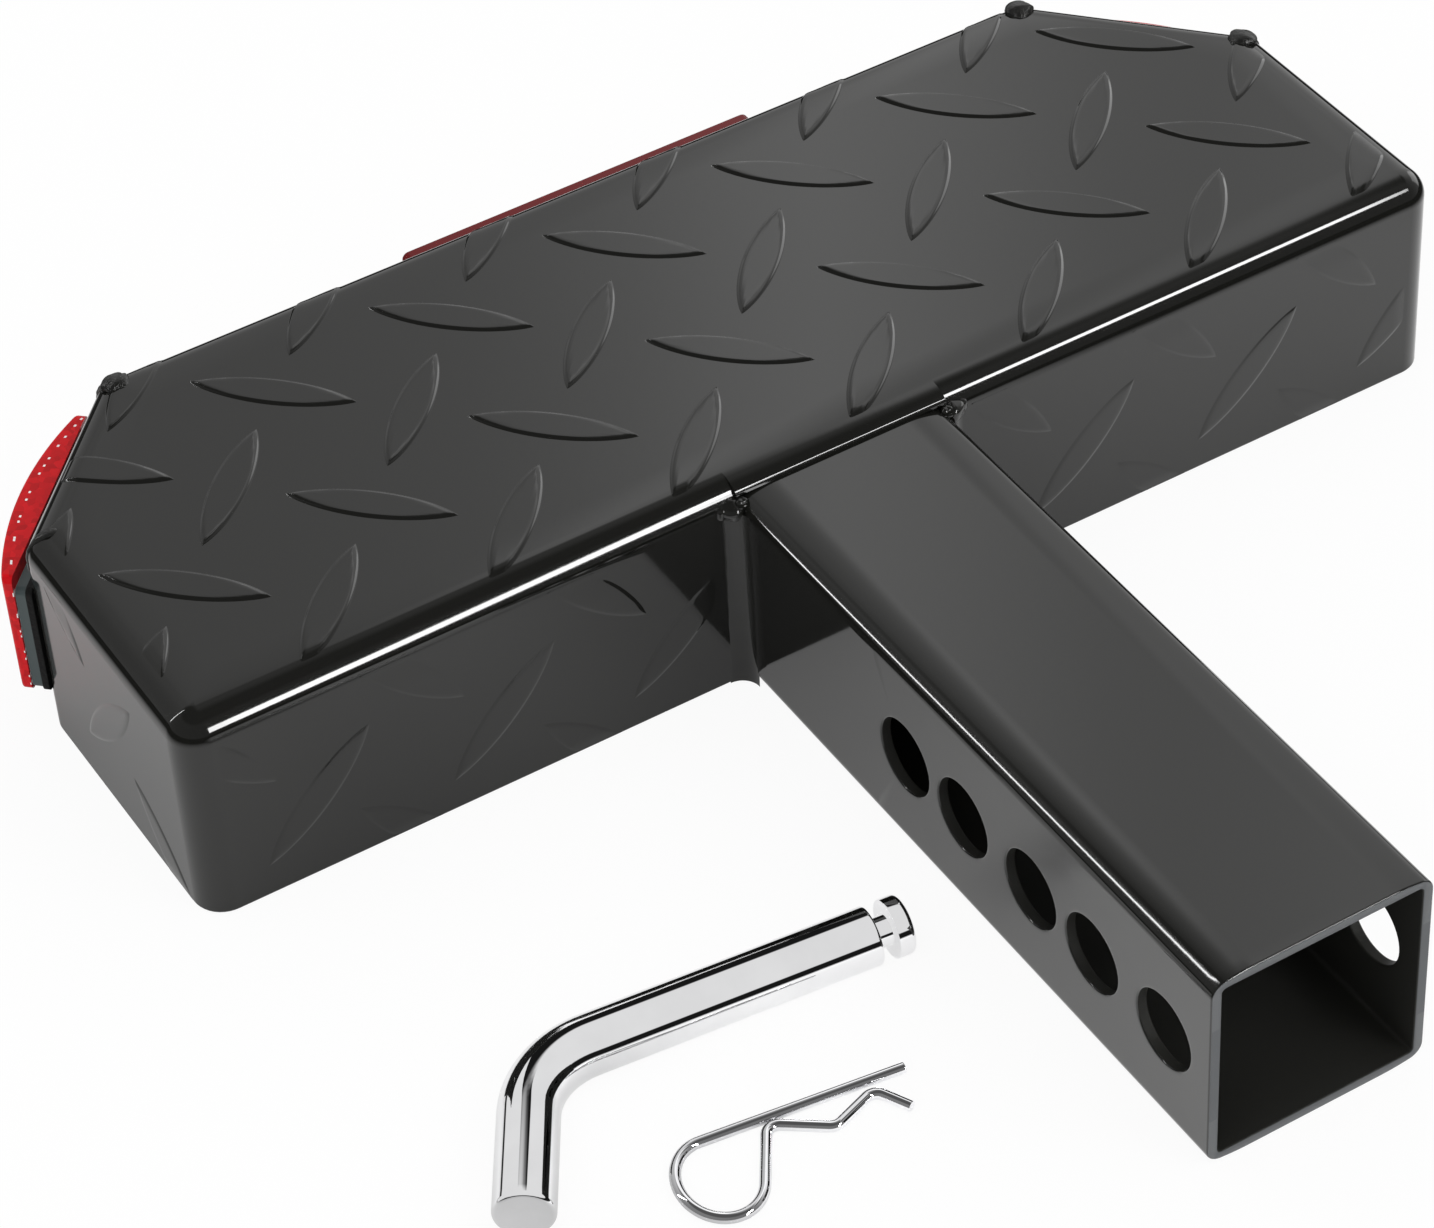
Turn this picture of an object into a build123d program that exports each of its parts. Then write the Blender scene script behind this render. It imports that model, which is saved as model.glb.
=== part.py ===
"""Hitch receiver step: a folded tread-plate tray welded onto a square receiver tube, with its pin and clip.

The origin is where the centre plane meets the front flange's outer face at the level of the tube's underside.
+X runs along the tray, +Y towards its rear edge, +Z up. The tube points along -Y. Sizes are in millimetres.
"""
from build123d import *
from math import acos, atan2, cos, degrees, hypot, pi, radians, sin
import os

# Receiver tube
tube_size = 50.8
tube_wall = 2.5
tube_inner_radius = 1.0
tube_reach = 167.0
pin_hole_diameter = 17.5
pin_hole_from_end = 15.0
pin_hole_pitches = (24.0, 21.0, 24.0, 21.0)

# Folded tray
tray_length = 312.0
tray_width = 110.0
corner_cut_x = 38.0
corner_cut_y = 42.0
plate = 3.0
inner_bend_radius = 3.0
front_corner_extra = 2.0
rear_corner_extra = 0.5
notch_gap = 0.3

# Raised bars of the tread plate
bar_length = 37.0
bar_width = 8.6
bar_height = 1.1
bar_bevel = 1.2
bar_pitch_x = 43.6
bar_pitch_y = 44.0
bar_row_x = -4.0
bar_row_y = 38.5
bar_margin = 1.5
smallest_bar_share = 0.12

# Weld beads
weld_leg = 5.0
weld_hollow = 1.4
weld_lump_radius = 4.0
stitch_length = 28.0
stitch_shares = (0.2, 0.62)
seam_radius = 1.8
seam_lump_radius = 2.8
left_seam_lump_radius = 2.0
seam_gap = 1.0

# Side reflectors, one on each cut corner
side_reflector_length = 54.0
side_reflector_height = 31.0
left_reflector_bottom = 10.6
right_reflector_bottom = 11.4
side_pad_thickness = 1.5
side_base_thickness = 3.4
side_lens_edge = 2.8
side_lens_rise = 4.5
side_lens_round = 1.2

# Rear reflector
rear_reflector_length = 90.0
rear_reflector_height = 28.0
rear_reflector_bottom = 19.5
rear_pad_thickness = 0.8
rear_base_thickness = 1.2
rear_lens_thickness = 3.5
rear_lens_round = 0.6

# Corners of the reflectors' layers
reflector_corner_radius = 2.5
base_inset = 0.4

# Hitch pin, lying on its side in front of the tray
pin_diameter = 12.7
pin_shaft = 82.2
pin_leg = 38.0
pin_turn = 64.0
pin_bend_radius = 20.0
pin_head_thickness = 3.8
pin_groove_width = 3.6
pin_neck_diameter = 6.5
pin_edge_round = 1.0
pin_head_at = (-41.8, -85.1)
pin_heading = 174.0

# Spring clip, lying flat beside the pin, with its bends given from the middle of its ring
clip_wire = 2.4
clip_ring_radius = 10.6
clip_arm = 42.7
clip_bend_radius = 2.6
clip_first_crest = (12.9, 8.2)
clip_pocket = (23.7, 2.6)
clip_second_crest = (34.1, 8.2)
clip_tip = (39.3, 1.2)
clip_at = (-103.8, -118.0)
clip_heading = -9.3

# Sizes that follow from the ones above
tray_height = tube_size + plate
bend_radius = inner_bend_radius + plate
front_corner_radius = bend_radius + front_corner_extra
rear_corner_radius = bend_radius + rear_corner_extra
flat_top = tray_height - bend_radius
bend_allowance = pi / 2 * (inner_bend_radius + plate / 2)
tube_side = tube_size / 2
tube_corner_radius = tube_inner_radius + tube_wall
tube_inner_end = tray_width - bend_radius
half_length = tray_length / 2
seam_bottom = max(left_reflector_bottom, right_reflector_bottom) + side_reflector_height + seam_gap

# Outline corners of the tray, counter-clockwise from the front left one
front_left = (-half_length, 0.0)
front_right = (half_length, 0.0)
right = (half_length, tray_width - corner_cut_y)
rear_right = (half_length - corner_cut_x, tray_width)
rear_left = (-half_length + corner_cut_x, tray_width)
left = (-half_length, tray_width - corner_cut_y)


def edge_heading(start, end):
    """Direction of an outline edge, in degrees from +X."""
    return degrees(atan2(end[1] - start[1], end[0] - start[0]))


def edge_length(start, end):
    """Length of an outline edge."""
    return hypot(end[0] - start[0], end[1] - start[1])


def flange_plane(start, end):
    """Outer face of the flange under an outline edge: local x along the edge, local y up, normal outwards."""
    heading = radians(edge_heading(start, end))
    along = (cos(heading), sin(heading), 0)
    outward = (sin(heading), -cos(heading), 0)
    return Plane(origin=(start[0], start[1], 0), x_dir=along, z_dir=outward)


# Solid envelope of the tray: the outline pulled up, with its top edge rounded by the bends
with BuildPart() as tray_envelope:
    with BuildSketch() as tray_outline:
        with BuildLine():
            Polyline(front_left, front_right, right, rear_right, rear_left, left, close=True)
        make_face()
        by_depth = tray_outline.vertices().sort_by(Axis.Y)
        fillet(by_depth[:2], front_corner_radius)
        fillet(by_depth[2:], rear_corner_radius)
    extrude(amount=tray_height)
    fillet(tray_envelope.faces().sort_by(Axis.Z)[-1].edges(), bend_radius)

# One raised bar: a pointed oval with bevelled sides and a flat crest
crest_scale = 1 - 2 * bar_bevel / bar_width
with BuildPart() as tread_bar:
    for level, scale in ((0, 1), (bar_height, crest_scale)):
        tip = bar_length / 2 * scale
        belly = bar_width / 2 * scale
        with BuildSketch(Plane.XY.offset(level)):
            with BuildLine():
                ThreePointArc((-tip, 0), (0, belly), (tip, 0))
                ThreePointArc((tip, 0), (0, -belly), (-tip, 0))
            make_face()
    loft(ruled=True)

# The bars lie at plus and minus 45 degrees, in two lattices half a pitch apart. The lattices belong to the
# flat blank, so they carry on across each bend and down each flange.
blank_reach = tray_height + bar_length
columns_out = int((half_length + blank_reach) / bar_pitch_x) + 1
rows_front = int((blank_reach + bar_row_y) / bar_pitch_y) + 1
rows_rear = int((tray_width + blank_reach) / bar_pitch_y) + 1
bar_spots = []
for column in range(-columns_out, columns_out + 1):
    for row in range(-rows_front, rows_rear + 1):
        spot_x = bar_row_x + column * bar_pitch_x
        spot_y = bar_row_y + row * bar_pitch_y
        bar_spots.append(Location((spot_x, spot_y, 0), (0, 0, -45)))
        bar_spots.append(Location((spot_x + bar_pitch_x / 2, spot_y + bar_pitch_y / 2, 0), (0, 0, 45)))


def spots_near(spots, low_x, high_x, low_y, high_y):
    """The spots whose bars can reach a rectangle."""
    reach = bar_length / 2
    kept = []
    for spot in spots:
        at = spot.position
        if low_x - reach < at.X < high_x + reach and low_y - reach < at.Y < high_y + reach:
            kept.append(spot)
    return kept


def flange_spots(start, end):
    """The lattices as they land on a flange, once the blank is folded down along an outline edge."""
    fold_level = flat_top + bend_allowance - bend_radius
    to_edge = Location((start[0], start[1], 0), (0, 0, edge_heading(start, end))).inverse()
    folded = [Location((0, fold_level, 0)) * to_edge * spot for spot in bar_spots]
    return spots_near(folded, 0, edge_length(start, end), 0, flat_top)


def flange_window(start, end, seat_length, seat_bottom, seat_height):
    """Flat of a flange that keeps its bars: clear of its ends, of its bend and of the seat of what sits on it."""
    length = edge_length(start, end)
    with BuildSketch() as window:
        with Locations((length / 2, flat_top / 2)):
            Rectangle(length - 2 * front_corner_radius, flat_top - 2 * bar_margin)
        if seat_length > 0:
            with Locations((length / 2, seat_bottom + seat_height / 2)):
                Rectangle(seat_length + 2 * bar_margin, seat_height + 2 * bar_margin, mode=Mode.SUBTRACT)
    return window.sketch


def bars_on(plane, spots, window):
    """The bars of one flat of the plate, trimmed to its window, without its smallest scraps."""
    with BuildPart() as bars:
        with Locations(*[plane.location * spot for spot in spots]):
            add(tread_bar.part)
        with BuildSketch(plane):
            add(window)
        extrude(amount=bar_height, mode=Mode.INTERSECT)
    return bars.solids().filter_by(lambda bar: bar.volume > smallest_bar_share * tread_bar.part.volume)


with BuildSketch() as top_window:
    offset(tray_outline.sketch, amount=-bend_radius)
top_spots = spots_near(bar_spots, -half_length, half_length, 0, tray_width)
all_bars = bars_on(Plane.XY.offset(tray_height), top_spots, top_window.sketch)

tube_seat = (tube_size + 2 * weld_leg, 0, tube_size)
left_seat = (side_reflector_length, left_reflector_bottom, side_reflector_height)
right_seat = (side_reflector_length, right_reflector_bottom, side_reflector_height)
rear_seat = (rear_reflector_length, rear_reflector_bottom, rear_reflector_height)
bare_seat = (0, 0, 0)
flanges = [
    (front_left, front_right, tube_seat),
    (front_right, right, bare_seat),
    (right, rear_right, right_seat),
    (rear_right, rear_left, rear_seat),
    (rear_left, left, left_seat),
    (left, front_left, bare_seat),
]
for edge_start, edge_end, seat in flanges:
    window = flange_window(edge_start, edge_end, *seat)
    all_bars += bars_on(flange_plane(edge_start, edge_end), flange_spots(edge_start, edge_end), window)

# Folded tray: the envelope hollowed to the plate's thickness, notched for the tube, with its bars
with BuildPart() as step_tray:
    add(tray_envelope.part)
    with BuildSketch():
        offset(tray_outline.sketch, amount=-plate)
    extrude(amount=tube_size, mode=Mode.SUBTRACT)
    underside = step_tray.faces().filter_by(Axis.Z).filter_by_position(Axis.Z, tube_size / 2, flat_top + plate)
    fillet(underside.edges(), inner_bend_radius)
    with BuildSketch():
        with Locations((0, bend_radius / 2)):
            Rectangle(tube_size + 2 * notch_gap, bend_radius)
    extrude(amount=tube_size, mode=Mode.SUBTRACT)
    add(all_bars)

# Receiver tube: square tube under the plate, open at its front end, with a row of pin holes through both sides
with BuildPart() as receiver_tube:
    with BuildSketch(Plane.XZ.offset(tube_reach)):
        with Locations((0, tube_size / 2)):
            bore_size = tube_size - 2 * tube_wall
            RectangleRounded(tube_size, tube_size, tube_corner_radius)
            RectangleRounded(bore_size, bore_size, tube_inner_radius, mode=Mode.SUBTRACT)
    extrude(amount=-tube_reach - tube_inner_end)
    hole_y = pin_hole_from_end - tube_reach
    hole_spots = [(hole_y, tube_size / 2)]
    for pitch in pin_hole_pitches:
        hole_y += pitch
        hole_spots.append((hole_y, tube_size / 2))
    with BuildSketch(Plane.YZ):
        with Locations(*hole_spots):
            Circle(pin_hole_diameter / 2)
    extrude(amount=tube_size, both=True, mode=Mode.SUBTRACT)


def bead_section(corner, leg_x, leg_y):
    """Section of a slightly hollow fillet bead that fills a corner, with one leg along x and one along y."""
    toe_x = (corner[0] + leg_x, corner[1])
    toe_y = (corner[0], corner[1] + leg_y)
    face_length = hypot(leg_x, leg_y)
    throat_x = corner[0] + leg_x / 2 - weld_hollow * leg_x / face_length
    throat_y = corner[1] + leg_y / 2 - weld_hollow * leg_y / face_length
    with BuildSketch() as bead:
        with BuildLine():
            Polyline(toe_y, corner, toe_x)
            ThreePointArc(toe_x, (throat_x, throat_y), toe_y)
        make_face()
    return bead.sketch


# Front welds: a bead up each side of the tube, with a lump where it ends under the bend
with BuildPart() as front_weld_left:
    with BuildSketch():
        add(bead_section((-tube_side, 0), -weld_leg, -weld_leg))
    extrude(amount=flat_top)
    with Locations((-tube_side - weld_lump_radius / 2, weld_lump_radius / 4, flat_top)):
        Sphere(weld_lump_radius)
    add(tray_envelope.part, mode=Mode.SUBTRACT)
    add(receiver_tube.part, mode=Mode.SUBTRACT)

with BuildPart() as front_weld_right:
    mirror(front_weld_left.part, about=Plane.YZ)

# Rear welds: a bead on each side of the tube's inner end, against the rear flange
with BuildPart() as rear_weld_left:
    with BuildSketch():
        add(bead_section((-tube_side, tray_width - plate), -weld_leg, -weld_leg - inner_bend_radius))
    extrude(amount=flat_top - inner_bend_radius)

with BuildPart() as rear_weld_right:
    mirror(rear_weld_left.part, about=Plane.YZ)

# Stitch welds: short beads along the tube's upper edges, against the plate's underside
with BuildPart() as stitch_welds_left:
    for stitch_share in stitch_shares:
        with BuildSketch(Plane.XZ.offset(-stitch_share * tray_width)):
            add(bead_section((-tube_side, tube_size), -weld_leg, -weld_leg))
        extrude(amount=-stitch_length)

with BuildPart() as stitch_welds_right:
    mirror(stitch_welds_left.part, about=Plane.YZ)


def corner_weld(before, corner, after, lump_radius):
    """Bead that closes the top of one rear corner's seam: a lump on the bend, then over it to above the reflector."""
    heading_in = radians(edge_heading(before, corner))
    heading_out = radians(edge_heading(corner, after))
    half_turn = (heading_out - heading_in) / 2 % pi
    outward = heading_in + half_turn - pi / 2
    setback = rear_corner_radius / cos(half_turn)
    seam_plane = Plane(
        origin=(corner[0] - setback * cos(outward), corner[1] - setback * sin(outward), 0),
        x_dir=(cos(outward), sin(outward), 0),
        z_dir=(sin(outward), -cos(outward), 0),
    )
    with BuildPart() as weld:
        with BuildLine(seam_plane):
            over_bend = CenterArc((rear_corner_radius - bend_radius, flat_top), bend_radius, 90, -90)
            Line((rear_corner_radius, flat_top), (rear_corner_radius, seam_bottom))
        with BuildSketch(Plane(origin=over_bend @ 0, z_dir=over_bend % 0)):
            Circle(seam_radius)
        sweep()
        with Locations(over_bend @ 0):
            Sphere(lump_radius)
        add(tray_envelope.part, mode=Mode.SUBTRACT)
        add(all_bars, mode=Mode.SUBTRACT)
    return weld.part


def reflector_plane(start, end, bottom):
    """Outer face of a flange, with its origin at the middle of a reflector's lower edge."""
    face = flange_plane(start, end)
    return face.shift_origin(face.from_local_coords((edge_length(start, end) / 2, bottom, 0)))


def flat_layer(plane, level, thickness, length, height, inset):
    """One flat layer of a reflector with rounded corners, set back from the full size by the inset."""
    with BuildPart() as layer:
        with BuildSketch(plane.offset(level)):
            with Locations((0, height / 2)):
                RectangleRounded(length - 2 * inset, height - 2 * inset, reflector_corner_radius - inset)
        extrude(amount=thickness)
    return layer.part


def side_lens(plane, level):
    """Lens of a side reflector: an even edge, domed along its length, with its outer rim rounded."""
    end = side_reflector_length / 2
    brow = level + side_lens_edge
    with BuildPart() as lens:
        with BuildSketch(Plane(origin=plane.origin, x_dir=plane.x_dir, z_dir=(0, 0, 1))):
            with BuildLine():
                Polyline((end, -brow), (end, -level), (-end, -level), (-end, -brow))
                ThreePointArc((-end, -brow), (0, -brow - side_lens_rise), (end, -brow))
            make_face()
        extrude(amount=side_reflector_height)
        dome = lens.faces().filter_by(GeomType.CYLINDER)
        fillet(dome.edges(), min(side_lens_round, side_lens_edge / 2))
    return lens.part


def rear_lens(plane, level):
    """Lens of the rear reflector: a flat block with rounded corners and a rounded outer rim."""
    with BuildPart() as lens:
        add(flat_layer(plane, level, rear_lens_thickness, rear_reflector_length, rear_reflector_height, 0))
        outer_face = lens.faces().sort_by(Axis(plane.origin, plane.z_dir))[-1]
        fillet(outer_face.edges(), min(rear_lens_round, rear_lens_thickness / 2))
    return lens.part


# Reflectors: pad, base and lens stuck on one after the other
side_size = (side_reflector_length, side_reflector_height)
rear_size = (rear_reflector_length, rear_reflector_height)
side_base_level = side_pad_thickness
side_lens_level = side_base_level + side_base_thickness
rear_base_level = rear_pad_thickness
rear_lens_level = rear_base_level + rear_base_thickness
left_face = reflector_plane(rear_left, left, left_reflector_bottom)
right_face = reflector_plane(right, rear_right, right_reflector_bottom)
rear_face = reflector_plane(rear_right, rear_left, rear_reflector_bottom)

# Hitch pin: a rod bent once, with a groove turned behind its head
with BuildPart() as hitch_pin:
    heading = radians(pin_heading)
    bend_reach = pin_bend_radius * sin(radians(pin_turn) / 2) / cos(radians(pin_turn) / 2)
    lying = Plane(origin=(*pin_head_at, pin_diameter / 2), x_dir=(cos(heading), sin(heading), 0), z_dir=(0, 0, 1))
    with BuildLine(lying):
        shaft = Line((0, 0), (pin_shaft - bend_reach, 0))
        bend = JernArc(shaft @ 1, shaft % 1, pin_bend_radius, pin_turn)
        Line(bend @ 1, bend @ 1 + (bend % 1) * (pin_leg - bend_reach))
    with BuildSketch(Plane(origin=lying.origin, z_dir=lying.x_dir)):
        Circle(pin_diameter / 2)
    sweep()
    ends = hitch_pin.faces().filter_by(GeomType.PLANE)
    fillet(ends.edges(), pin_edge_round)
    with BuildSketch(Plane(origin=lying.origin, z_dir=lying.x_dir).offset(pin_head_thickness)):
        Circle(pin_diameter)
        Circle(pin_neck_diameter / 2, mode=Mode.SUBTRACT)
    extrude(amount=pin_groove_width, mode=Mode.SUBTRACT)

# Spring clip: a straight arm, a ring and a wavy arm of one wire, all in one plane
with BuildPart() as hitch_clip:
    lying = Plane(origin=(*clip_at, clip_wire / 2), z_dir=(0, 0, 1)).rotated((0, 0, clip_heading))
    crest_bearing = degrees(atan2(clip_first_crest[1], clip_first_crest[0]))
    leave_at = crest_bearing - degrees(acos(clip_ring_radius / hypot(*clip_first_crest)))
    with BuildLine(lying):
        arm = Line((clip_arm, clip_ring_radius), (0, clip_ring_radius))
        CenterArc((0, 0), clip_ring_radius, 90, 270 + leave_at)
        ring_end = (clip_ring_radius * cos(radians(leave_at)), clip_ring_radius * sin(radians(leave_at)))
        waves = (ring_end, clip_first_crest, clip_pocket, clip_second_crest, clip_tip)
        FilletPolyline(*waves, radius=clip_bend_radius)
    with BuildSketch(Plane(origin=arm @ 0, z_dir=arm % 0)):
        Circle(clip_wire / 2)
    sweep()

# Every piece under its own name
pieces = {
    "step_tray": step_tray.part,
    "receiver_tube": receiver_tube.part,
    "front_weld_left": front_weld_left.part,
    "front_weld_right": front_weld_right.part,
    "rear_weld_left": rear_weld_left.part,
    "rear_weld_right": rear_weld_right.part,
    "stitch_welds_left": stitch_welds_left.part,
    "stitch_welds_right": stitch_welds_right.part,
    "corner_weld_left": corner_weld(rear_left, left, front_left, left_seam_lump_radius),
    "corner_weld_rear_left": corner_weld(rear_right, rear_left, left, seam_lump_radius),
    "corner_weld_rear_right": corner_weld(right, rear_right, rear_left, seam_lump_radius),
    "corner_weld_right": corner_weld(front_right, right, rear_right, seam_lump_radius),
    "left_reflector_pad": flat_layer(left_face, 0, side_pad_thickness, *side_size, 0),
    "left_reflector_base": flat_layer(left_face, side_base_level, side_base_thickness, *side_size, base_inset),
    "left_reflector_lens": side_lens(left_face, side_lens_level),
    "right_reflector_pad": flat_layer(right_face, 0, side_pad_thickness, *side_size, 0),
    "right_reflector_base": flat_layer(right_face, side_base_level, side_base_thickness, *side_size, base_inset),
    "right_reflector_lens": side_lens(right_face, side_lens_level),
    "rear_reflector_pad": flat_layer(rear_face, 0, rear_pad_thickness, *rear_size, 0),
    "rear_reflector_base": flat_layer(rear_face, rear_base_level, rear_base_thickness, *rear_size, base_inset),
    "rear_reflector_lens": rear_lens(rear_face, rear_lens_level),
    "hitch_pin": hitch_pin.part,
    "hitch_clip": hitch_clip.part,
}

os.makedirs("parts", exist_ok=True)
for name, piece in pieces.items():
    piece.label = name
    export_step(piece, f"parts/{name}.step")
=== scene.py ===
"""Looks of the hitch receiver step: coated tread-plate tray, square tube, welds, reflectors, pin and clip.

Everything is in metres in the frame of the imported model: X along the tray, Y from the tube towards the tray's rear
edge, Z up, with the floor at Z = 0.
"""
from math import radians

import bmesh
import bpy
import numpy as np
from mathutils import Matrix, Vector


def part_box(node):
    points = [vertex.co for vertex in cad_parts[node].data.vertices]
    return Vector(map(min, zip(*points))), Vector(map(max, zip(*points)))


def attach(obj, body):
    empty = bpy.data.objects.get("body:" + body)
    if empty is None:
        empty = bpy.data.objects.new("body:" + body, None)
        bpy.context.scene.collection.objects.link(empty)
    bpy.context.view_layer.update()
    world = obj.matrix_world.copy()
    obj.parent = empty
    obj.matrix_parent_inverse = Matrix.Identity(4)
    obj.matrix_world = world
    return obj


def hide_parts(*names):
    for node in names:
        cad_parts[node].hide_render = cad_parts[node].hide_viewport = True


bl_info = {
    "name": "Hitch Receiver Step",
    "version": (1, 0, 0),
    "blender": (4, 5, 0),
    "location": "View3D > Sidebar > Hitch Step",
    "description": "Builds the visible surfaces and finishes of a hitch receiver step around its packed solids",
    "category": "Object",
}

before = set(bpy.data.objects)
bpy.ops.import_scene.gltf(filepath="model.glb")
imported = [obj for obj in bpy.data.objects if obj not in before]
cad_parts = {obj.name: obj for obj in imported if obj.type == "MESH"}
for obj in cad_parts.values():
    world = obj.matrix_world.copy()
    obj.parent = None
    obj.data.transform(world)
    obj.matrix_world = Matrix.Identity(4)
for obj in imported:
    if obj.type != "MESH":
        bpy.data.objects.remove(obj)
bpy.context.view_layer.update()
TUBE_LOW, TUBE_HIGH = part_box("receiver_tube")
MM = 0.001
COAT_IOR, ACRYLIC_IOR = 1.5, 1.49
# Edges of the tray's outline after the front and the right one; a corner has the number of the edge that starts there
RIGHT_CUT, REAR, LEFT_CUT, LEFT = range(2, 6)


def to_linear(code):
    """Linear colour of an sRGB hex code."""
    part = np.array([int(code[i:i + 2], 16) for i in (1, 3, 5)]) / 255
    curve = np.where(part <= 0.04045, part / 12.92, ((part + 0.055) / 1.055) ** 2.4)
    return tuple(float(value) for value in curve)


def length(name, description, millimetres):
    """A length that the user can change."""
    return bpy.props.FloatProperty(name=name, description=description, default=millimetres * MM, unit="LENGTH",
                                   precision=5)


def angle_prop(name, description, degrees):
    """An angle that the user can change."""
    return bpy.props.FloatProperty(name=name, description=description, default=radians(degrees), subtype="ANGLE")


def share_prop(name, description, value):
    """A share that the user can change."""
    return bpy.props.FloatProperty(name=name, description=description, default=value, subtype="FACTOR")


def colour(name, description, code):
    """A colour that the user can change."""
    return bpy.props.FloatVectorProperty(name=name, description=description, default=to_linear(code),
                                         subtype="COLOR", size=3, min=0, max=1)


class HitchTrayProps(bpy.types.PropertyGroup):
    """Sizes of the folded tray and of the bars raised on its plate."""
    length: length("Length", "Tray from end to end", 312)
    width: length("Width", "Tray from front to rear", 110)
    height: length("Height", "Tray from the flanges' lower edges to the plate's top", 53.8)
    cut_x: length("Corner cut along", "Cut of the right rear corner, along the tray", 38)
    cut_y: length("Corner cut across", "Cut of the right rear corner, across the tray", 42)
    left_cut_x: length("Left corner cut along", "Cut of the left rear corner, along the tray", 36.3)
    left_cut_y: length("Left corner cut across", "Cut of the left rear corner, across the tray", 38.5)
    plate: length("Plate", "Thickness of the tread plate", 3)
    bend: length("Bend", "How far a fold reaches in from the flange", 6)
    lead: length("Lead", "Stretch over which the plate starts to turn before a fold", 8)
    lead_tilt: angle_prop("Lead tilt", "How far the plate has turned where a fold starts", 4)
    front_corner: length("Front corner radius", "Upright corners at the front", 7)
    rear_corner: length("Rear corner radius", "Upright corners at the cut ends", 6.5)
    rim: length("Rim radius", "Rounding of the flanges' lower edges", 0.7)
    notch: length("Notch half width", "Half of the notch in the front flange", 26.1)
    bar_length: length("Bar length", "Raised bar from tip to tip", 37.6)
    bar_width: length("Bar width", "Raised bar across its middle", 8.6)
    bar_height: length("Bar height", "Raised bar above the plate", 0.5)
    bar_slope: length("Bar slope", "Width of the slope round a raised bar", 1.0)
    bar_wrap: length("Bar wrap", "How far the bars run on round a rear fold", 4.2)
    bar_wrap_front: length("Front bar wrap", "How far the bars run on round the other folds", 1.2)
    flange_bar_height: length("Flange bar height", "Raised bar above a flange", 0.25)
    flange_bar_slope: length("Flange bar slope", "Width of the slope round a bar on a flange", 1.3)
    front_shift: length("Front bar shift", "How far the bars sit to the left on the left front flange", 15)
    lip: length("Lip radius", "Turn of the plate's edge over the notch", 8)
    lip_edge: length("Lip edge radius", "Tight turn at the lower edge over the notch", 1.4)
    pitch_x: length("Pitch along", "Spacing of the bars along the tray", 43.6)
    pitch_y: length("Pitch across", "Spacing of the bars across the tray", 44)
    first_x: length("First bar along", "Middle of one bar, along the tray", -4)
    first_y: length("First bar across", "Middle of one bar, across the tray", 38.5)


class HitchTubeProps(bpy.types.PropertyGroup):
    """Sizes of the receiver tube."""
    size: length("Size", "Outside width of the square tube", (TUBE_HIGH.z - TUBE_LOW.z) / MM)
    spread: share_prop("Spread", "Width of the tube by its height", 1.02)
    wall: length("Wall", "Thickness of the tube's wall", 2.5)
    corner: length("Corner radius", "Outside radius of the tube's corners", 3.5)
    lead: length("Lead", "Stretch over which the top starts to turn before a corner", 7)
    lead_tilt: angle_prop("Lead tilt", "How far the top has turned where a corner starts", 8)
    front: length("Open end", "Place of the open end along Y", TUBE_LOW.y / MM)
    rear: length("Inner end", "Place of the inner end along Y", TUBE_HIGH.y / MM)
    hole: length("Hole diameter", "Cross holes for the hitch pin", 17.5)
    edge: length("Edge radius", "Rounding of the cut edges under the coat", 0.45)


class HitchWeldProps(bpy.types.PropertyGroup):
    """Sizes of the weld beads."""
    leg: length("Leg", "Leg of the fillet beads", 4.6)
    ripple: length("Ripple", "Height of the ripples along a bead", 0.05)
    ripple_pitch: length("Ripple pitch", "Spacing of the ripples along a bead", 7)
    lump: length("Lump radius", "Lump at the top of a front bead", 3.2)
    seam: length("Seam radius", "Bead over a rear corner", 1.6)
    seam_lump: length("Seam lump radius", "Dome at the top of a rear corner", 3.2)
    seam_flat: share_prop("Seam flatness", "Height of a rear corner's bead by its width", 0.55)
    seam_bottom: length("Seam bottom", "Lower end of a rear corner's bead", 43.4)
    stitch: length("Stitch", "Length of a bead along the tube's upper edge", 28)


class HitchReflectorProps(bpy.types.PropertyGroup):
    """Sizes of the reflectors."""
    corner: length("Corner radius", "Corners of every reflector", 1.6)
    side_length: length("Side length", "Reflector on a cut corner, along it", 54)
    side_height: length("Side height", "Reflector on a cut corner, upright", 32.1)
    left_bottom: length("Left bottom", "Lower edge of the left reflector", 9.5)
    right_bottom: length("Right bottom", "Lower edge of the right reflector", 10.9)
    side_drop: length("Side drop", "How far a side lens stands over its base at the top", 3)
    side_pad: length("Side pad", "Foam pad behind a side reflector", 1.5)
    side_base: length("Side base", "Base of a side reflector", 2.4)
    side_edge: length("Side lens edge", "Edge of a side lens", 2.2)
    side_rise: length("Side lens rise", "How far a side lens bows out", 4.5)
    rear_length: length("Rear length", "Reflector on the rear flange, along it", 90)
    rear_height: length("Rear height", "Reflector on the rear flange, upright", 28)
    rear_at: length("Rear place", "Middle of the rear reflector along X", 2.3)
    rear_bottom: length("Rear bottom", "Lower edge of the rear reflector", 19.8)
    rear_pad: length("Rear pad", "Foam pad behind the rear reflector", 0.8)
    rear_base: length("Rear base", "Base of the rear reflector", 1.2)
    rear_lens: length("Rear lens", "Lens of the rear reflector", 3.1)


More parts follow.
